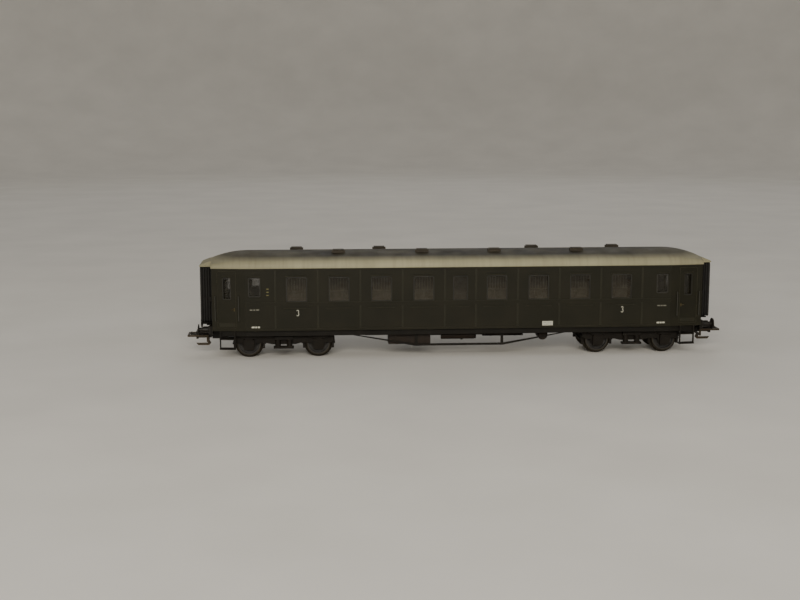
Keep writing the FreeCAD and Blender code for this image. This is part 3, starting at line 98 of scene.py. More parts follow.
class Finish:
    """One node-based material, put together a step at a time."""

    def __init__(self, name):
        self.material = bpy.data.materials.new(name)
        self.material.use_nodes = True
        self.tree = self.material.node_tree
        self.shader = self.tree.nodes["Principled BSDF"]
        self.place = self.add("ShaderNodeTexCoord").outputs["Object"]
        self.height = None

    def add(self, kind, **settings):
        node = self.tree.nodes.new(kind)
        for key, value in settings.items():
            setattr(node, key, value)
        return node

    def feed(self, socket, value):
        if isinstance(value, bpy.types.NodeSocket):
            self.tree.links.new(value, socket)
        else:
            socket.default_value = value

    def noise(self, size, detail=3.0, stretch=(1, 1, 1)):
        """Cloudy noise whose patches are about size millimetres across."""
        mapping = self.add("ShaderNodeMapping")
        self.feed(mapping.inputs["Vector"], self.place)
        mapping.inputs["Scale"].default_value = stretch
        noise = self.add("ShaderNodeTexNoise")
        self.feed(noise.inputs["Vector"], mapping.outputs["Vector"])
        noise.inputs["Scale"].default_value = 1 / (size * MM)
        noise.inputs["Detail"].default_value = detail
        return noise.outputs[0]

    def span(self, value, low, high, to_low=0.0, to_high=1.0):
        """Maps low..high to to_low..to_high, and holds the ends."""
        node = self.add("ShaderNodeMapRange")
        self.feed(node.inputs["Value"], value)
        limits = (("From Min", low), ("From Max", high), ("To Min", to_low), ("To Max", to_high))
        for socket, number in limits:
            node.inputs[socket].default_value = number
        return node.outputs["Result"]

    def mix(self, factor, first, second):
        node = self.add("ShaderNodeMix", data_type="RGBA")
        self.feed(node.inputs[0], factor)
        self.feed(node.inputs[6], first)
        self.feed(node.inputs[7], second)
        return node.outputs[2]

    def math(self, operation, first, second=0.0):
        node = self.add("ShaderNodeMath", operation=operation)
        self.feed(node.inputs[0], first)
        self.feed(node.inputs[1], second)
        return node.outputs[0]

    def axis(self, index):
        node = self.add("ShaderNodeSeparateXYZ")
        self.feed(node.inputs[0], self.place)
        return node.outputs[index]

    def edges(self, radius):
        """1 along outside edges and 0 on flats, from how far a bevel would turn the surface."""
        bevel = self.add("ShaderNodeBevel", samples=4)
        bevel.inputs["Radius"].default_value = radius * MM
        flat = self.add("ShaderNodeNewGeometry").outputs["Normal"]
        dot = self.add("ShaderNodeVectorMath", operation="DOT_PRODUCT")
        self.feed(dot.inputs[0], bevel.outputs["Normal"])
        self.feed(dot.inputs[1], flat)
        return self.span(dot.outputs["Value"], 0.72, 0.99, 1.0, 0.0)

    def bump(self, height, depth):
        """Adds relief of about depth millimetres on top of what is there."""
        node = self.add("ShaderNodeBump")
        node.inputs["Distance"].default_value = depth * MM
        self.feed(node.inputs["Height"], height)
        if self.height is not None:
            self.feed(node.inputs["Normal"], self.height)
        self.height = node.outputs["Normal"]

    def done(self, colour, roughness, **constants):
        self.feed(self.shader.inputs["Base Color"], colour)
        self.feed(self.shader.inputs["Roughness"], roughness)
        if self.height is not None:
            self.feed(self.shader.inputs["Normal"], self.height)
        for key, value in constants.items():
            self.shader.inputs[key.replace("_", " ")].default_value = value
        return self.material


def moulded(name, low, high, patch=9.0, gloss=(0.42, 0.55), grain=0.35, depth=0.012,
            edge=None, dust=None, dust_top=0.0, dust_share=0.5, **constants):
    """Moulded plastic: cloudy colour, fine grain, and where asked for lighter edges, partly wear and partly
    painted highlight, and dust low down.
    """
    finish = Finish(name)
    cloud = finish.noise(patch, 4.0)
    colour = finish.mix(finish.span(cloud, 0.3, 0.7), low, high)
    if dust is not None:
        fall = finish.span(finish.axis(2), dust_top * MM, (dust_top - 9) * MM)
        patchy = finish.span(finish.noise(2.6, 5.0), 0.35, 0.75, 0.25, 1.0)
        share = finish.math("MULTIPLY", finish.math("MULTIPLY", fall, patchy), dust_share)
        colour = finish.mix(share, colour, dust)
    if edge is not None:
        # Lighter edges in patches: partly wear, partly a painted highlight along edges that catch the light.
        ridge = finish.edges(0.22)
        edge_wear_and_highlight = finish.math("MULTIPLY", ridge, finish.span(finish.noise(1.5), 0.35, 0.7, 0.25, 1.0))
        colour = finish.mix(edge_wear_and_highlight, colour, edge)
    finish.bump(finish.noise(grain, 2.0), depth)
    rough = finish.span(finish.noise(patch * 0.6, 3.0), 0.3, 0.7, *gloss)
    return finish.done(colour, rough, **constants)


def make_materials():
    made = {}
    made["coach_green"] = moulded(
        "coach_green", srgb(27, 26, 17), srgb(33, 31, 21), patch=14.0,
        gloss=(0.42, 0.54), grain=0.5, depth=0.01,
        edge=srgb(56, 54, 40), dust=srgb(44, 38, 27), dust_top=19.0, dust_share=0.3, Specular_IOR_Level=0.14)
    made["trim_green"] = moulded(
        "trim_green", srgb(31, 30, 20), srgb(38, 36, 25), patch=8.0,
        gloss=(0.4, 0.52), grain=0.5, depth=0.008,
        edge=srgb(66, 63, 47), Specular_IOR_Level=0.2)
    made["window_frame"] = moulded(
        "window_frame", srgb(24, 21, 14), srgb(31, 28, 19), patch=4.0,
        gloss=(0.4, 0.5), grain=0.4, depth=0.008)
    made["roof_silver"] = roof_finish()
    made["roof_trim"] = moulded(
        "roof_trim", srgb(40, 35, 27), srgb(54, 48, 38), patch=6.0, gloss=(0.52, 0.64), grain=0.3, depth=0.01,
        edge=srgb(84, 77, 62), Specular_IOR_Level=0.2)
    made["clear_glazing"] = glazing_finish()
    made["partition_tan"] = board_finish(
        "partition_tan", srgb(150, 124, 88), srgb(172, 144, 106), srgb(92, 72, 48), "Y")
    made["door_tan"] = grain_finish("door_tan", srgb(170, 158, 132), srgb(190, 178, 152))
    made["bench_wood"] = board_finish(
        "bench_wood", srgb(150, 112, 68), srgb(178, 140, 90), srgb(84, 60, 36), "Z")
    made["slat_wood"] = grain_finish("slat_wood", srgb(206, 190, 156), srgb(222, 206, 174))
    made["floor_brown"] = grain_finish("floor_brown", srgb(84, 64, 44), srgb(104, 80, 56))
    made["ballast_steel"] = steel_finish("ballast_steel", srgb(120, 118, 112), srgb(150, 148, 142), 0.45)
    made["axle_steel"] = steel_finish("axle_steel", srgb(84, 80, 73), srgb(112, 107, 98), 0.38)
    made["loop_metal"] = steel_finish("loop_metal", srgb(46, 40, 32), srgb(70, 62, 50), 0.45)
    made["wheel_steel"] = wheel_finish()
    made["handrail_metal"] = moulded(
        "handrail_metal", srgb(30, 29, 21), srgb(40, 38, 28), patch=5.0,
        gloss=(0.36, 0.48), grain=0.3, depth=0.006)
    made["bellows_rubber"] = moulded(
        "bellows_rubber", srgb(17, 15, 13), srgb(25, 23, 19), patch=3.0,
        gloss=(0.62, 0.8), grain=0.25, depth=0.03,
        edge=srgb(38, 34, 28))
    made["bogie_black"] = moulded(
        "bogie_black", srgb(15, 12, 8), srgb(22, 18, 12), patch=5.0,
        gloss=(0.54, 0.72), grain=0.3, depth=0.02,
        edge=srgb(42, 35, 25), dust=srgb(38, 30, 20), dust_top=11.0, dust_share=0.3, Specular_IOR_Level=0.15)
    made["coupler_black"] = moulded(
        "coupler_black", srgb(20, 17, 13), srgb(28, 24, 18), patch=4.0,
        gloss=(0.42, 0.58), grain=0.3, depth=0.012,
        edge=srgb(50, 43, 33), Specular_IOR_Level=0.22)
    made["frame_black"] = moulded(
        "frame_black", srgb(15, 13, 9), srgb(22, 19, 13), patch=7.0,
        gloss=(0.5, 0.66), grain=0.35, depth=0.015,
        edge=srgb(40, 34, 25), dust=srgb(36, 29, 20), dust_top=12.0, dust_share=0.3, Specular_IOR_Level=0.15)
    made["equipment_brown"] = moulded(
        "equipment_brown", srgb(24, 18, 12), srgb(34, 26, 18), patch=6.0,
        gloss=(0.52, 0.68), grain=0.35, depth=0.02,
        edge=srgb(54, 43, 31), dust=srgb(50, 38, 26), dust_top=12.0, dust_share=0.35,
        Specular_IOR_Level=0.2)
    made["print_white"] = moulded(
        "print_white", srgb(166, 164, 148), srgb(188, 186, 170), patch=0.8,
        gloss=(0.45, 0.6), grain=0.2, depth=0.006)
    # Yellow of the three small marks between the last bay and the end window.
    made["yellow_mark_colour"] = moulded(
        "yellow_mark_colour", srgb(92, 86, 46), srgb(112, 105, 58), patch=0.8,
        gloss=(0.45, 0.6), grain=0.2, depth=0.006)
    made["print_grey"] = moulded(
        "print_grey", srgb(92, 90, 78), srgb(116, 113, 100), patch=0.6,
        gloss=(0.5, 0.6), grain=0.2, depth=0.004)
    made["brass"] = moulded(
        "brass", srgb(72, 63, 42), srgb(92, 82, 56), patch=2.0, gloss=(0.28, 0.4), grain=0.2, depth=0.004,
        Metallic=0.8)
    return made


def roof_finish():
    """Silver-grey paint with rain streaks down the curve and fine speckle, with painted shade on the crown
    and towards both ends.
    """
    finish = Finish("roof_silver")
    cloud = finish.span(finish.noise(16.0, 4.0), 0.3, 0.7)
    colour = finish.mix(cloud, srgb(138, 134, 108), srgb(154, 149, 121))
    streaks = finish.span(finish.noise(1.6, 3.0, (1, 0.08, 0.08)), 0.45, 0.75)
    colour = finish.mix(finish.math("MULTIPLY", streaks, 0.35), colour, srgb(116, 108, 88))
    # Painted shade: the crown above the lit shoulder is darkened nearly to black, a little patchy.
    crown = finish.span(finish.axis(2), (GUTTER + 3.0) * MM, (GUTTER + 4.8) * MM)
    painted_crown_shade = finish.math("MULTIPLY", crown, finish.span(finish.noise(9.0, 5.0), 0.3, 0.7, 0.86, 1.0))
    colour = finish.mix(painted_crown_shade, colour, finish.mix(cloud, srgb(30, 26, 20), srgb(44, 39, 31)))
    # Painted shade: the roof grows darker towards both ends, where the light falls off.
    painted_end_shade = finish.span(finish.math("ABSOLUTE", finish.axis(0)), 60 * MM, (BODY_END + 4) * MM, 0.0, 0.4)
    colour = finish.mix(painted_end_shade, colour, srgb(96, 90, 70))
    finish.bump(finish.noise(0.3, 2.0), 0.012)
    finish.bump(finish.noise(6.0, 2.0), 0.05)
    rough = finish.span(finish.noise(5.0, 3.0), 0.3, 0.7, 0.52, 0.66)
    return finish.done(colour, rough, Metallic=0.05, Specular_IOR_Level=0.2)


def glazing_finish():
    """Clear polystyrene: lets most light through, with a faint haze and moulding ripple; its dark tint is
    painted shade over the inside seen through it.
    """
    finish = Finish("clear_glazing")
    # Painted shade: the dark tint dims the inside seen through the windows.
    colour = finish.mix(finish.span(finish.noise(6.0), 0.3, 0.7), srgb(34, 32, 25), srgb(44, 41, 32))
    finish.bump(finish.noise(3.0, 1.0), 0.02)
    rough = finish.span(finish.noise(4.0, 2.0), 0.3, 0.7, 0.05, 0.12)
    finish.feed(finish.shader.inputs["Alpha"], finish.span(finish.noise(2.5, 3.0), 0.3, 0.7, 0.34, 0.46))
    return finish.done(colour, rough, IOR=1.5)


def board_finish(name, low, high, groove, direction):
    """Boarded tan moulding whose grooves repeat along one axis."""
    board = 1.35
    waves_per_unit = 0.314
    finish = Finish(name)
    wave = finish.add("ShaderNodeTexWave", wave_type="BANDS", bands_direction=direction, wave_profile="SIN")
    finish.feed(wave.inputs["Vector"], finish.place)
    wave.inputs["Scale"].default_value = waves_per_unit / (board * MM)
    wave.inputs["Distortion"].default_value = 0.0
    gap = finish.span(wave.outputs[0], 0.0, 0.16, 1.0, 0.0)
    grain = finish.span(finish.noise(2.0, 5.0, (1, 1, 0.15)), 0.3, 0.7)
    colour = finish.mix(grain, low, high)
    colour = finish.mix(finish.math("MULTIPLY", gap, 0.75), colour, groove)
    finish.bump(finish.span(wave.outputs[0], 0.0, 0.2), 0.1)
    rough = finish.span(finish.noise(1.5), 0.3, 0.7, 0.5, 0.65)
    return finish.done(colour, rough)


def grain_finish(name, low, high):
    """Plain moulding with a fine wood-like grain."""
    finish = Finish(name)
    grain = finish.span(finish.noise(1.2, 6.0, (0.3, 0.12, 1)), 0.3, 0.7)
    finish.bump(grain, 0.02)
    return finish.done(finish.mix(grain, low, high), finish.span(grain, 0.0, 1.0, 0.45, 0.6))


def steel_finish(name, low, high, rough):
    """Bare or blackened steel with drawn scratches and brown tarnish."""
    finish = Finish(name)
    scratch = finish.noise(0.5, 4.0, (0.2, 1, 1))
    colour = finish.mix(finish.span(scratch, 0.3, 0.7), low, high)
    tarnish = finish.span(finish.noise(2.5, 4.0), 0.5, 0.8, 0.0, 0.5)
    colour = finish.mix(tarnish, colour, srgb(84, 66, 46))
    finish.bump(scratch, 0.01)
    return finish.done(colour, finish.span(scratch, 0.3, 0.7, rough - 0.08, rough + 0.12), Metallic=0.85)


def wheel_finish():
    """Bright worn treads and flanges round a dark disc: the wheels lie in the X, Z plane about four axles."""
    finish = Finish("wheel_steel")
    middle = sum((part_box("axle_1")[corner] for corner in (0, 1)), Vector()) / 2
    x, z = finish.axis(0), finish.axis(2)
    pivot = abs(sum(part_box("bogie_frame_front")[corner].x for corner in (0, 1)) / 2)
    spread = abs(middle.x) - pivot
    from_bogie = finish.math("SUBTRACT", finish.math("ABSOLUTE", x), pivot)
    from_axle = finish.math("SUBTRACT", finish.math("ABSOLUTE", from_bogie), spread)
    up = finish.math("SUBTRACT", z, middle.z)
    radius = finish.math("SQRT", finish.math("ADD", finish.math("MULTIPLY", from_axle, from_axle),
                                             finish.math("MULTIPLY", up, up)))
    disc_edge, rim_edge = 4.75, 4.95
    rim = finish.span(radius, disc_edge * MM, rim_edge * MM)
    steel = finish.mix(finish.span(finish.noise(1.0, 4.0), 0.3, 0.7), srgb(50, 46, 39), srgb(70, 65, 56))
    disc = finish.mix(finish.span(finish.noise(2.0, 4.0), 0.3, 0.7), srgb(18, 15, 10), srgb(27, 22, 16))
    finish.bump(finish.noise(0.3, 2.0), 0.01)
    finish.feed(finish.shader.inputs["Metallic"], finish.span(rim, 0.0, 1.0, 0.1, 0.9))
    return finish.done(finish.mix(rim, disc, steel), finish.span(rim, 0.0, 1.0, 0.55, 0.34))


# ---------------------------------------------------------------- mesh tools, in millimetres

def skin(bm, rings, closed=False):
    """Joins a row of point rings into one surface, capped at both ends unless it closes on itself."""
    rows = [[bm.verts.new(point) for point in ring] for ring in rings]
    pairs = list(zip(rows, rows[1:]))
    if closed:
        pairs.append((rows[-1], rows[0]))
    count = len(rows[0])
    for first, second in pairs:
        for here in range(count):
            there = (here + 1) % count
            bm.faces.new((first[here], first[there], second[there], second[here]))
    if not closed:
        bm.faces.new(list(reversed(rows[0])))
        bm.faces.new(rows[-1])


def plate(bm, middle, across, up, out, width, height, low, high, chamfer=0.05):
    """A flat block on a surface, from low to high along out, with its front edges softened."""
    def ring(inset, level):
        return [middle + across * (a * (width / 2 - inset)) + up * (b * (height / 2 - inset)) + out * level
                for a, b in ((-1, -1), (1, -1), (1, 1), (-1, 1))]
    skin(bm, [ring(0, low), ring(0, high - chamfer), ring(chamfer, high)])


def brick(bm, low, high, chamfer=0.08):
    """A block between two corners with all its edges softened."""
    def ring(z, inset):
        x0, x1, y0, y1 = low[0] + inset, high[0] - inset, low[1] + inset, high[1] - inset
        c = chamfer
        return [Vector(p) for p in ((x0 + c, y0, z), (x1 - c, y0, z), (x1, y0 + c, z), (x1, y1 - c, z),
                                    (x1 - c, y1, z), (x0 + c, y1, z), (x0, y1 - c, z), (x0, y0 + c, z))]
    levels = ((low[2], chamfer), (low[2] + chamfer, 0), (high[2] - chamfer, 0), (high[2], chamfer))
    skin(bm, [ring(z, inset) for z, inset in levels])


def outline(half_width, half_height, corner, steps=4):
    """A rounded rectangle as points in its own plane."""
    points = []
    for quarter, (a, b) in enumerate(((1, 1), (-1, 1), (-1, -1), (1, -1))):
        for step in range(steps + 1):
            angle = math.radians(90 * (quarter + step / steps))
            points.append((a * (half_width - corner) + corner * math.cos(angle),
                           b * (half_height - corner) + corner * math.sin(angle)))
    return points


def ring_frame(bm, middle, across, up, out, half_width, half_height, corner, bar, low, high):
    """A rounded window or door frame whose outer edge is the given outline."""
    outer = outline(half_width, half_height, corner)
    inner = outline(half_width - bar, half_height - bar, max(corner - bar, 0.12))
    soft = bar * 0.2
    crest_out = outline(half_width - soft, half_height - soft, max(corner - soft, 0.12))
    crest_in = outline(half_width - bar + soft, half_height - bar + soft, max(corner - bar + soft, 0.12))
    rings = []
    for a, b, c, d in zip(outer, crest_out, crest_in, inner):
        section = ((a, low), (a, high - soft), (b, high), (c, high), (d, high - soft), (d, low))
        rings.append([middle + across * p[0] + up * p[1] + out * level for p, level in section])
    skin(bm, rings, closed=True)


def tube(bm, points, radius, sides=8):
    """A round bar through the points."""
    points = [Vector(p) for p in points]
    rings = []
    for number, point in enumerate(points):
        before, after = points[max(number - 1, 0)], points[min(number + 1, len(points) - 1)]
        along = (after - before).normalized()
        if number == 0:
            first = along.orthogonal().normalized()
        else:
            first = (first - along * first.dot(along)).normalized()
        second = along.cross(first)
        rings.append([point + (first * math.cos(a) + second * math.sin(a)) * radius
                      for a in (2 * math.pi * side / sides for side in range(sides))])
    skin(bm, rings)


def dome(bm, point, out, radius):
    """A rivet head."""
    rise = radius * 0.7
    first = out.orthogonal().normalized()
    second = out.cross(first)
    rings = []
    for share, level in ((1.0, -0.1), (1.0, 0.02), (0.8, 0.55 * rise), (0.35, rise)):
        rings.append([point + out * level + (first * math.cos(a) + second * math.sin(a)) * radius * share
                      for a in (math.pi * side / 3 for side in range(6))])
    skin(bm, rings)


def finish_piece(name, bm, finish, body="coach", smooth=35, replaces=()):
    """Turns a mesh drawn in millimetres into a piece that rides on a body."""
    bmesh.ops.recalc_face_normals(bm, faces=bm.faces)
    bmesh.ops.scale(bm, vec=(MM, MM, MM), verts=bm.verts)
    mesh = bpy.data.meshes.new(name)
    bm.to_mesh(mesh)
    bm.free()
    for polygon in mesh.polygons:
        polygon.use_smooth = True
    mesh.set_sharp_from_angle(angle=math.radians(smooth))
    piece = bpy.data.objects.new(name, mesh)
    bpy.context.scene.collection.objects.link(piece)
    mesh.materials.append(FINISHES[finish])
    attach(piece, body)
    if replaces:
        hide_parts(*replaces)
    return piece


# ---------------------------------------------------------------- the coach side as a surface

def side_at(x):
    """Half the coach's width at x, where both ends taper in."""
    return SIDE - max(0.0, abs(x) - TAPER_START) * (SIDE - END_SIDE) / (BODY_END - TAPER_START)


def on_side(x, z, side):
    """A point on the flat of the coach side, with its directions along the coach, up and outward."""
    point = Vector((x, side * side_at(x), z))
    ahead = Vector((x + 0.01, side * side_at(x + 0.01), z))
    along = (ahead - point).normalized()
    out = Vector((-along.y, along.x, 0)) * side
    return point, along, Z, out


def on_side_plate(bm, x, z, side, width, height, low, high, chamfer=0.05):
    middle, along, up, out = on_side(x, z, side)
    plate(bm, middle, along, up, out, width, height, low, high, chamfer)


def both_sides(draw):
    """One mesh with what draw makes on each side of the coach."""
    bm = bmesh.new()
    for side in (-1, 1):
        draw(bm, side)
    return bm


def side_strips(bm, side):
    """Cover strips over the panel joints, below and above the belt."""
    width, front, lap = 0.75, 0.13, 0.05
    for x in JOINTS:
        for low, high in ((BASE_TOP - lap, BELT_LOW + lap), (BELT_HIGH - lap, CORNICE_LOW + lap)):
            on_side_plate(bm, x, (low + high) / 2, side, width, high - low, TRIM_BACK, front, chamfer=0.06)


def side_rivets(bm, side):
    """A row of rivets down each cover strip, below and above the belt."""
    for x in JOINTS:
        for low, high, margin, count in ((BASE_TOP, BELT_LOW, 0.7, 11), (BELT_HIGH, CORNICE_LOW, 0.8, 13)):
            for number in range(count):
                z = low + margin + number * (high - low - 2 * margin) / (count - 1)
                point, _, _, out = on_side(x, z, side)
                dome(bm, point + out * 0.1, out, RIVET_RADIUS)


def side_ledges(bm, side):
    """The ledge a little below each window."""
    height, front = 0.36, 0.24
    for x in BAYS + [0.0]:
        width = 11.8 if x else 8.6
        on_side_plate(bm, x, BELT_LOW - 1.25, side, width, height, TRIM_BACK, front, chamfer=0.1)


def window_lips(bm, side):
    """The drip strip over each window."""
    above, lap, height, front = 0.42, 0.25, 0.5, 0.42
    for x, half, _, high in WINDOWS + DOOR_WINDOWS:
        on_side_plate(bm, x, high + above, side, 2 * (half + lap), height, TRIM_BACK, front, chamfer=0.16)


def window_frames(bm, side):
    """A rounded frame just inside each window opening."""
    clearance, corner, bar = 0.03, 0.68, 0.42
    back, front = -0.34, -0.06
    for x, half, low, high in WINDOWS + DOOR_WINDOWS:
        middle, along, up, out = on_side(x, (low + high) / 2, side)
        ring_frame(bm, middle, along, up, out, half - clearance, (high - low) / 2 - clearance,
                   corner, bar, back, front)


def sill_strips(bm, side):
    """The bright sill that each window stands on."""
    height, back, front, clearance = 0.3, -0.4, 0.3, 0.05
    for x in BAYS + [0.0]:
        half = BAY_WINDOW_HALF if x else MIDDLE_WINDOW_HALF
        on_side_plate(bm, x, SILL + 0.02, side, 2 * (half - clearance), height, back, front, chamfer=0.1)


def door_edges(bm, side):
    """The rounded edge of each door leaf, its three hinges and its kick plate."""
    low, high = BASE_TOP + 0.25, CORNICE_LOW - 0.35
    corner, bar, front = 0.5, 0.34, 0.15
    hinge_half, hinge_radius = 0.55, 0.2
    kick_width, kick_height = 2 * DOOR_HALF - 1.6, 1.7
    for end in (-1, 1):
        middle, along, up, out = on_side(end * DOOR_X, (low + high) / 2, side)
        ring_frame(bm, middle, along, up, out, DOOR_HALF, (high - low) / 2, corner, bar, TRIM_BACK, front)
        for z in (low + 3.2, BELT_LOW - 2.4, BELT_HIGH + 9.4):
            hinge, _, up, out = on_side(end * (DOOR_X + DOOR_HALF), z, side)
            pin = hinge + out * 0.1
            tube(bm, [pin - up * hinge_half, pin + up * hinge_half], hinge_radius)
        on_side_plate(bm, end * DOOR_X, low + 1.6, side, kick_width, kick_height, TRIM_BACK, 0.1)


def door_handles(bm, side):
    """A back plate and a bent lever near the inner edge of each door."""
    z = BELT_LOW - 1.6
    bend, lever_out, lever_end, lever_radius = 0.3, 0.42, 1.3, 0.14
    for end in (-1, 1):
        x = end * (DOOR_X - DOOR_HALF + 1.0)
        on_side_plate(bm, x, z, side, 0.55, 1.5, TRIM_BACK, 0.12)
        point, along, _, out = on_side(x, z, side)
        tube(bm, [point - out * 0.05, point + out * bend, point + out * lever_out + along * end * 0.2,
                  point + out * lever_out + along * end * lever_end], lever_radius)


def digit_three(bm, x, z, side):
    """A generic class figure 3, printed upright and read from outside."""
    wide, tall, half_stroke, arc_steps = 0.6, 0.85, 0.13, 8
    middle, along, up, out = on_side(x, z, side)
    read = along * -side
    stroke = []
    for centre, radius, first, last in ((0.76, 0.7, 160, -85), (-0.74, 0.84, 85, -155)):
        for step in range(arc_steps + 1):
            angle = math.radians(first + (last - first) * step / arc_steps)
            stroke.append((radius * math.cos(angle), centre + radius * math.sin(angle)))
    rings = []
    for number, (a, b) in enumerate(stroke):
        before, after = stroke[max(number - 1, 0)], stroke[min(number + 1, len(stroke) - 1)]
        run = Vector((after[0] - before[0], after[1] - before[1], 0)).normalized()
        cross = (read * -run.y + up * run.x) * half_stroke
        here = middle + read * a * wide + up * b * tall
        back, front = here + out * PRINT_BACK, here + out * PRINT_FRONT
        rings.append([back - cross, back + cross, front + cross, front - cross])
    skin(bm, rings)


def dashes(bm, x, z, side, widths, gap, height, back=PRINT_BACK, front=PRINT_FRONT):
    """A row of plain dashes that starts at x, with no lettering; most rows stand for an inscription."""
    for width in widths:
        on_side_plate(bm, x + width / 2, z, side, width, height, back, front, PRINT_CHAMFER)
        x += width + gap


def white_print(bm, side):
    """The class figures and, near each end, the lower row of dashes."""
    for end in (-1, 1):
        digit_three(bm, end * BAYS[-1] + 0.4, CLASS_Z, side)
        dashes(bm, end * LOWER_PRINT_X - 1.8, LOWER_PRINT_Z, side, (1.3, 0.8, 1.1), 0.25, 0.7)


def grey_print(bm, side):
    """The fainter row of dashes under each end window."""
    for end in (-1, 1):
        dashes(bm, end * END_WINDOW_X - 2.1, UPPER_PRINT_Z, side, (1.2, 0.9, 1.4), 0.3, 0.5)


def data_panel(bm, side):
    """A plain pale panel near the foot of the side."""
    on_side_plate(bm, -side * PANEL_X, PANEL_Z, side, 4.8, 2.0, PRINT_BACK, 0.06, chamfer=0.03)


def data_rows(bm, side):
    """Two rows of dashes on that panel."""
    for z, widths in ((PANEL_Z + 0.45, (1.4, 0.8, 1.0)), (PANEL_Z - 0.4, (0.7, 1.5, 1.0))):
        dashes(bm, -side * PANEL_X - 1.9, z, side, widths, 0.3, 0.22, back=0.0, front=0.08)


def yellow_marks(bm, side):
    """Three small marks, one above another, between the last bay and the end window."""
    for number in range(3):
        dashes(bm, side * YELLOW_MARK_X - 0.5, YELLOW_MARK_Z + 1.4 * number, side, (1.0,), 0.0, 0.4)


def make_sides():
    finish_piece("panel_cover_strips", both_sides(side_strips), "trim_green")
    finish_piece("panel_rivets", both_sides(side_rivets), "trim_green", smooth=60)
    finish_piece("window_ledges", both_sides(side_ledges), "trim_green")
    finish_piece("window_drip_strips", both_sides(window_lips), "trim_green")
    finish_piece("window_frames", both_sides(window_frames), "window_frame")
    finish_piece("window_sills", both_sides(sill_strips), "trim_green")
    finish_piece("door_edges", both_sides(door_edges), "trim_green")
    finish_piece("door_handles", both_sides(door_handles), "brass")
    finish_piece("white_print", both_sides(white_print), "print_white")
    finish_piece("grey_print", both_sides(grey_print), "print_grey")
    finish_piece("data_panels", both_sides(data_panel), "print_white")
    finish_piece("data_panel_rows", both_sides(data_rows), "print_grey")
    finish_piece("yellow_marks", both_sides(yellow_marks), "yellow_mark_colour")


# ---------------------------------------------------------------- gangway bellows

def make_bellows(end, sign):
    """Rubber bellows in five soft folds with a stiff frame at the open end."""
    folds, steps, frame_share = 5, 41, 0.93
    seat, fold_depth, wall = 0.02, 0.75, 1.25
    low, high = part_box(f"gangway_bellows_{end}")
    half, bottom, top = high.y / MM, low.z / MM, high.z / MM
    middle, half_height = (bottom + top) / 2, (top - bottom) / 2
    length = abs(high.x if sign > 0 else low.x) / MM - BODY_END
    outer, inner = [], []
    for step in range(steps):
        share = step / (steps - 1)
        x = sign * (BODY_END - seat + share * (length + seat))
        fold = 0.5 - 0.5 * math.cos(2 * math.pi * folds * share)
        inset = 0.0 if share > frame_share else fold_depth * (1 - fold ** 0.7)
        outer.append([Vector((x, a, middle + b))
                      for a, b in outline(half - inset, half_height - inset * 0.6, 1.3 - inset * 0.5, 5)])
        inner.append([Vector((x, a, middle + b))
                      for a, b in outline(half - wall + 0.35 * (1 - fold), half_height - wall, 0.9, 5)])
    bm = bmesh.new()
    skin(bm, outer + list(reversed(inner)), closed=True)
    finish_piece(f"bellows_{end}", bm, "bellows_rubber", smooth=50,
                 replaces=(f"gangway_bellows_{end}",))


# ---------------------------------------------------------------- interior

def bench_slats(bm, back, facing, low_y, high_y):
    """Slats on the seat and up the back of one bench, whose back stands at x = back."""
    seat, lift = 22.4, 0.22
    for number in range(6):
        x = back - facing * (1.25 + 0.72 * number)
        brick(bm, (x - 0.26, low_y, seat - 0.05), (x + 0.26, high_y, seat + lift), 0.06)
    low_x, high_x = sorted((back - facing, back - facing * (1 + lift)))
    for number in range(8):
        z = seat + 1.3 + 1.02 * number
        brick(bm, (low_x, low_y, z), (high_x, high_y, z + 0.62), 0.06)


def corridor_bars(bm, bay):
    """The upright bars, the rails under them and the door handle in one bay of the corridor wall."""
    wall_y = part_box("corridor_wall")[0].y / MM
    door_y, door_half, lap = wall_y + 0.2, 2.6, 0.02
    rail_low, rail_high, bar_low = 27.6, 28.1, 28.2
    for number in range(-6, 7):
        x = bay + number * 1.25
        face, top = (door_y, 34.6) if abs(x - bay) < door_half else (wall_y, 36.6)
        brick(bm, (x - 0.25, face - 0.3, bar_low), (x + 0.25, face + lap, top), 0.06)
    for offset, face in ((-5.6, wall_y), (5.6, wall_y), (0.0, door_y)):
        x = bay + offset
        brick(bm, (x - door_half, face - 0.28, rail_low), (x + door_half, face + lap, rail_high))
    brick(bm, (bay + 1.9, door_y - 0.4, 25.0), (bay + 2.2, door_y + lap, 27.0), 0.06)


def make_interior():
    """What shows through the windows: slatted benches and the bars of the corridor wall."""
    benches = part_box("benches")
    low_y, high_y = benches[0].y / MM + 0.3, benches[1].y / MM - 0.3
    slats = bmesh.new()
    bars = bmesh.new()
    for bay in BAYS:
        for facing in (-1, 1):
            bench_slats(slats, bay + facing * (BAY / 2 - 0.5), facing, low_y, high_y)
        corridor_bars(bars, bay)
    finish_piece("bench_slats", slats, "slat_wood")
    finish_piece("corridor_bars", bars, "slat_wood")


# ---------------------------------------------------------------- stage, lights and camera

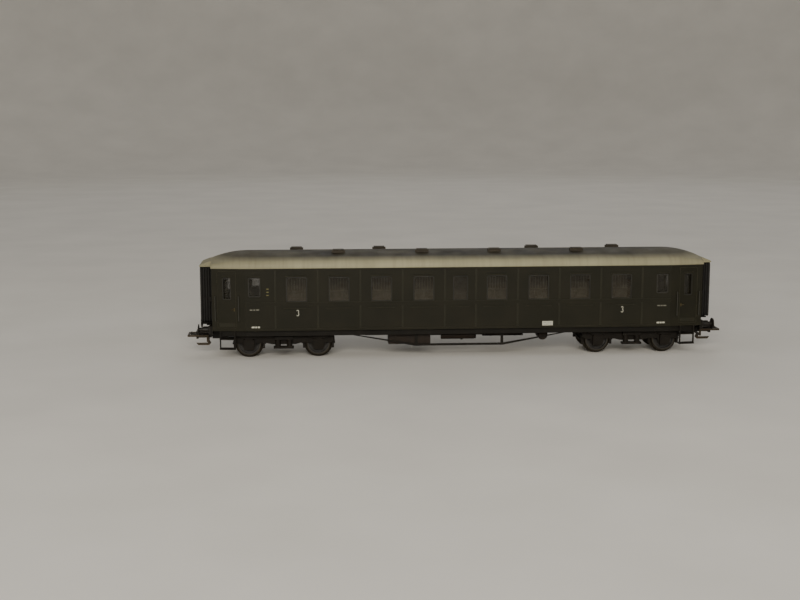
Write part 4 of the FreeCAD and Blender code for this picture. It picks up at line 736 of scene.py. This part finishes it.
def make_stage():
    """A pale round floor that curves up into its own wall, the same from every side."""
    flat, curve, wall_top, sides = 1.4, 0.6, 1.6, 96
    profile = [(0.6, 0.0), (flat, 0.0)]
    profile += [(flat + curve * math.sin(math.radians(a)), curve - curve * math.cos(math.radians(a)))
                for a in range(9, 91, 9)]
    profile.append((flat + curve, wall_top))
    bm = bmesh.new()
    rows = [[bm.verts.new((r * math.cos(2 * math.pi * s / sides), r * math.sin(2 * math.pi * s / sides), z))
             for s in range(sides)] for r, z in profile]
    hub = bm.verts.new((0, 0, 0))
    for s in range(sides):
        bm.faces.new((hub, rows[0][s], rows[0][(s + 1) % sides]))
        for first, second in zip(rows, rows[1:]):
            bm.faces.new((first[s], second[s], second[(s + 1) % sides], first[(s + 1) % sides]))
    mesh = bpy.data.meshes.new("floor")
    bm.to_mesh(mesh)
    bm.free()
    for polygon in mesh.polygons:
        polygon.use_smooth = True
    floor = bpy.data.objects.new("floor", mesh)
    bpy.context.scene.collection.objects.link(floor)
    paper = Finish("floor_paper")
    shade = paper.span(paper.noise(60.0, 3.0), 0.3, 0.7)
    paper.bump(paper.noise(0.8, 2.0), 0.01)
    mesh.materials.append(paper.done(paper.mix(shade, srgb(214, 210, 202), srgb(222, 218, 210)), 0.85))


def aim(thing, target):
    """Turns a light so that it shines at the target."""
    thing.rotation_euler = (Vector(target) - thing.location).to_track_quat("-Z", "Y").to_euler()


def make_lights():
    """A long soft key light in front, a fill at each end, a low light behind and a faint even sky."""
    for name, place, width, depth, power, tint in (
            ("key", (-0.1, -1.2, 0.5), 0.9, 0.4, 15.0, (1.0, 0.96, 0.88)),
            ("fill_left", (-1.2, -0.4, 0.6), 0.8, 0.6, 2.4, (1.0, 0.98, 0.95)),
            ("fill_right", (1.2, -0.3, 0.6), 0.8, 0.6, 2.2, (0.95, 0.97, 1.0)),
            ("back", (0.2, 1.2, 0.9), 1.2, 0.6, 2.6, (1.0, 1.0, 1.0))):
        data = bpy.data.lights.new(name, "AREA")
        data.shape = "RECTANGLE"
        data.size, data.size_y, data.energy, data.color = width, depth, power, tint
        light = bpy.data.objects.new(name, data)
        bpy.context.scene.collection.objects.link(light)
        light.location = place
        aim(light, (0, 0, 0.025))
    world = bpy.data.worlds.new("studio")
    bpy.context.scene.world = world
    world.use_nodes = True
    world.node_tree.nodes["Background"].inputs["Color"].default_value = (0.95, 0.97, 1.0, 1.0)
    world.node_tree.nodes["Background"].inputs["Strength"].default_value = 0.2


def make_camera():
    """A camera in front of the side, left of its middle and a little above it."""
    place = Vector((-66.5, -587.4, 116.5)) * MM
    yaw, pitch, roll = math.radians(3.95), math.radians(8.92), math.radians(-0.01)
    forward = Vector((math.sin(yaw) * math.cos(pitch), math.cos(yaw) * math.cos(pitch), -math.sin(pitch)))
    right = forward.cross(Z).normalized()
    up = right.cross(forward)
    turned_right = right * math.cos(roll) + up * math.sin(roll)
    turned_up = up * math.cos(roll) - right * math.sin(roll)
    data = bpy.data.cameras.new("camera")
    data.sensor_width = 36.0
    data.lens = 58.5
    data.clip_start = 0.01
    data.clip_end = 20.0
    camera = bpy.data.objects.new("camera", data)
    bpy.context.scene.collection.objects.link(camera)
    rotation = Matrix((turned_right, turned_up, -forward)).transposed().to_4x4()
    camera.matrix_world = Matrix.Translation(place) @ rotation
    bpy.context.scene.camera = camera


# ---------------------------------------------------------------- finishes of the CAD nodes

# A node takes the finish of the longest of these names that its own name starts with.
NODE_FINISH = {
    "body_shell": "coach_green", "roof": "roof_silver", "roof_vents": "roof_trim",
    "glazing_left": "clear_glazing", "glazing_right": "clear_glazing", "door_glazing": "clear_glazing",
    "ballast_weight": "ballast_steel", "interior_floor": "floor_brown", "corridor_wall": "door_tan",
    "corridor_doors": "door_tan", "compartment_walls": "partition_tan", "benches": "bench_wood",
    "underframe": "frame_black",
    "battery_box": "equipment_brown", "brake_cylinder": "equipment_brown",
    "air_reservoirs": "equipment_brown",
    "axle_generator": "equipment_brown", "steam_pipe": "equipment_brown", "brake_rigging": "bogie_black",
    "truss_frames": "frame_black", "entrance_steps": "frame_black", "door_handrails": "handrail_metal",
    "lamp_brackets": "frame_black", "headstock": "frame_black", "buffer": "coupler_black",
    "gangway_bellows": "bellows_rubber", "gangway_footplate": "frame_black", "bogie_frame": "bogie_black",
    "bogie_screw": "axle_steel", "brake_shoes": "bogie_black", "coupler_guide": "frame_black",
    "coupler_shoe": "coupler_black", "coupler_drawbar": "coupler_black", "coupling_head": "coupler_black",
    "coupling_loop": "loop_metal", "coupler_spring": "axle_steel", "axle_": "axle_steel",
    "wheels": "wheel_steel",
}


def paint_nodes():
    for name, node in NODES.items():
        key = max((k for k in NODE_FINISH if name.startswith(k)), key=len)
        node.data.materials.clear()
        node.data.materials.append(FINISHES[NODE_FINISH[key]])


FINISHES = make_materials()
paint_nodes()
make_sides()
for end_name, end_sign in (("front", 1), ("rear", -1)):
    make_bellows(end_name, end_sign)
make_interior()
make_stage()
make_lights()
make_camera()
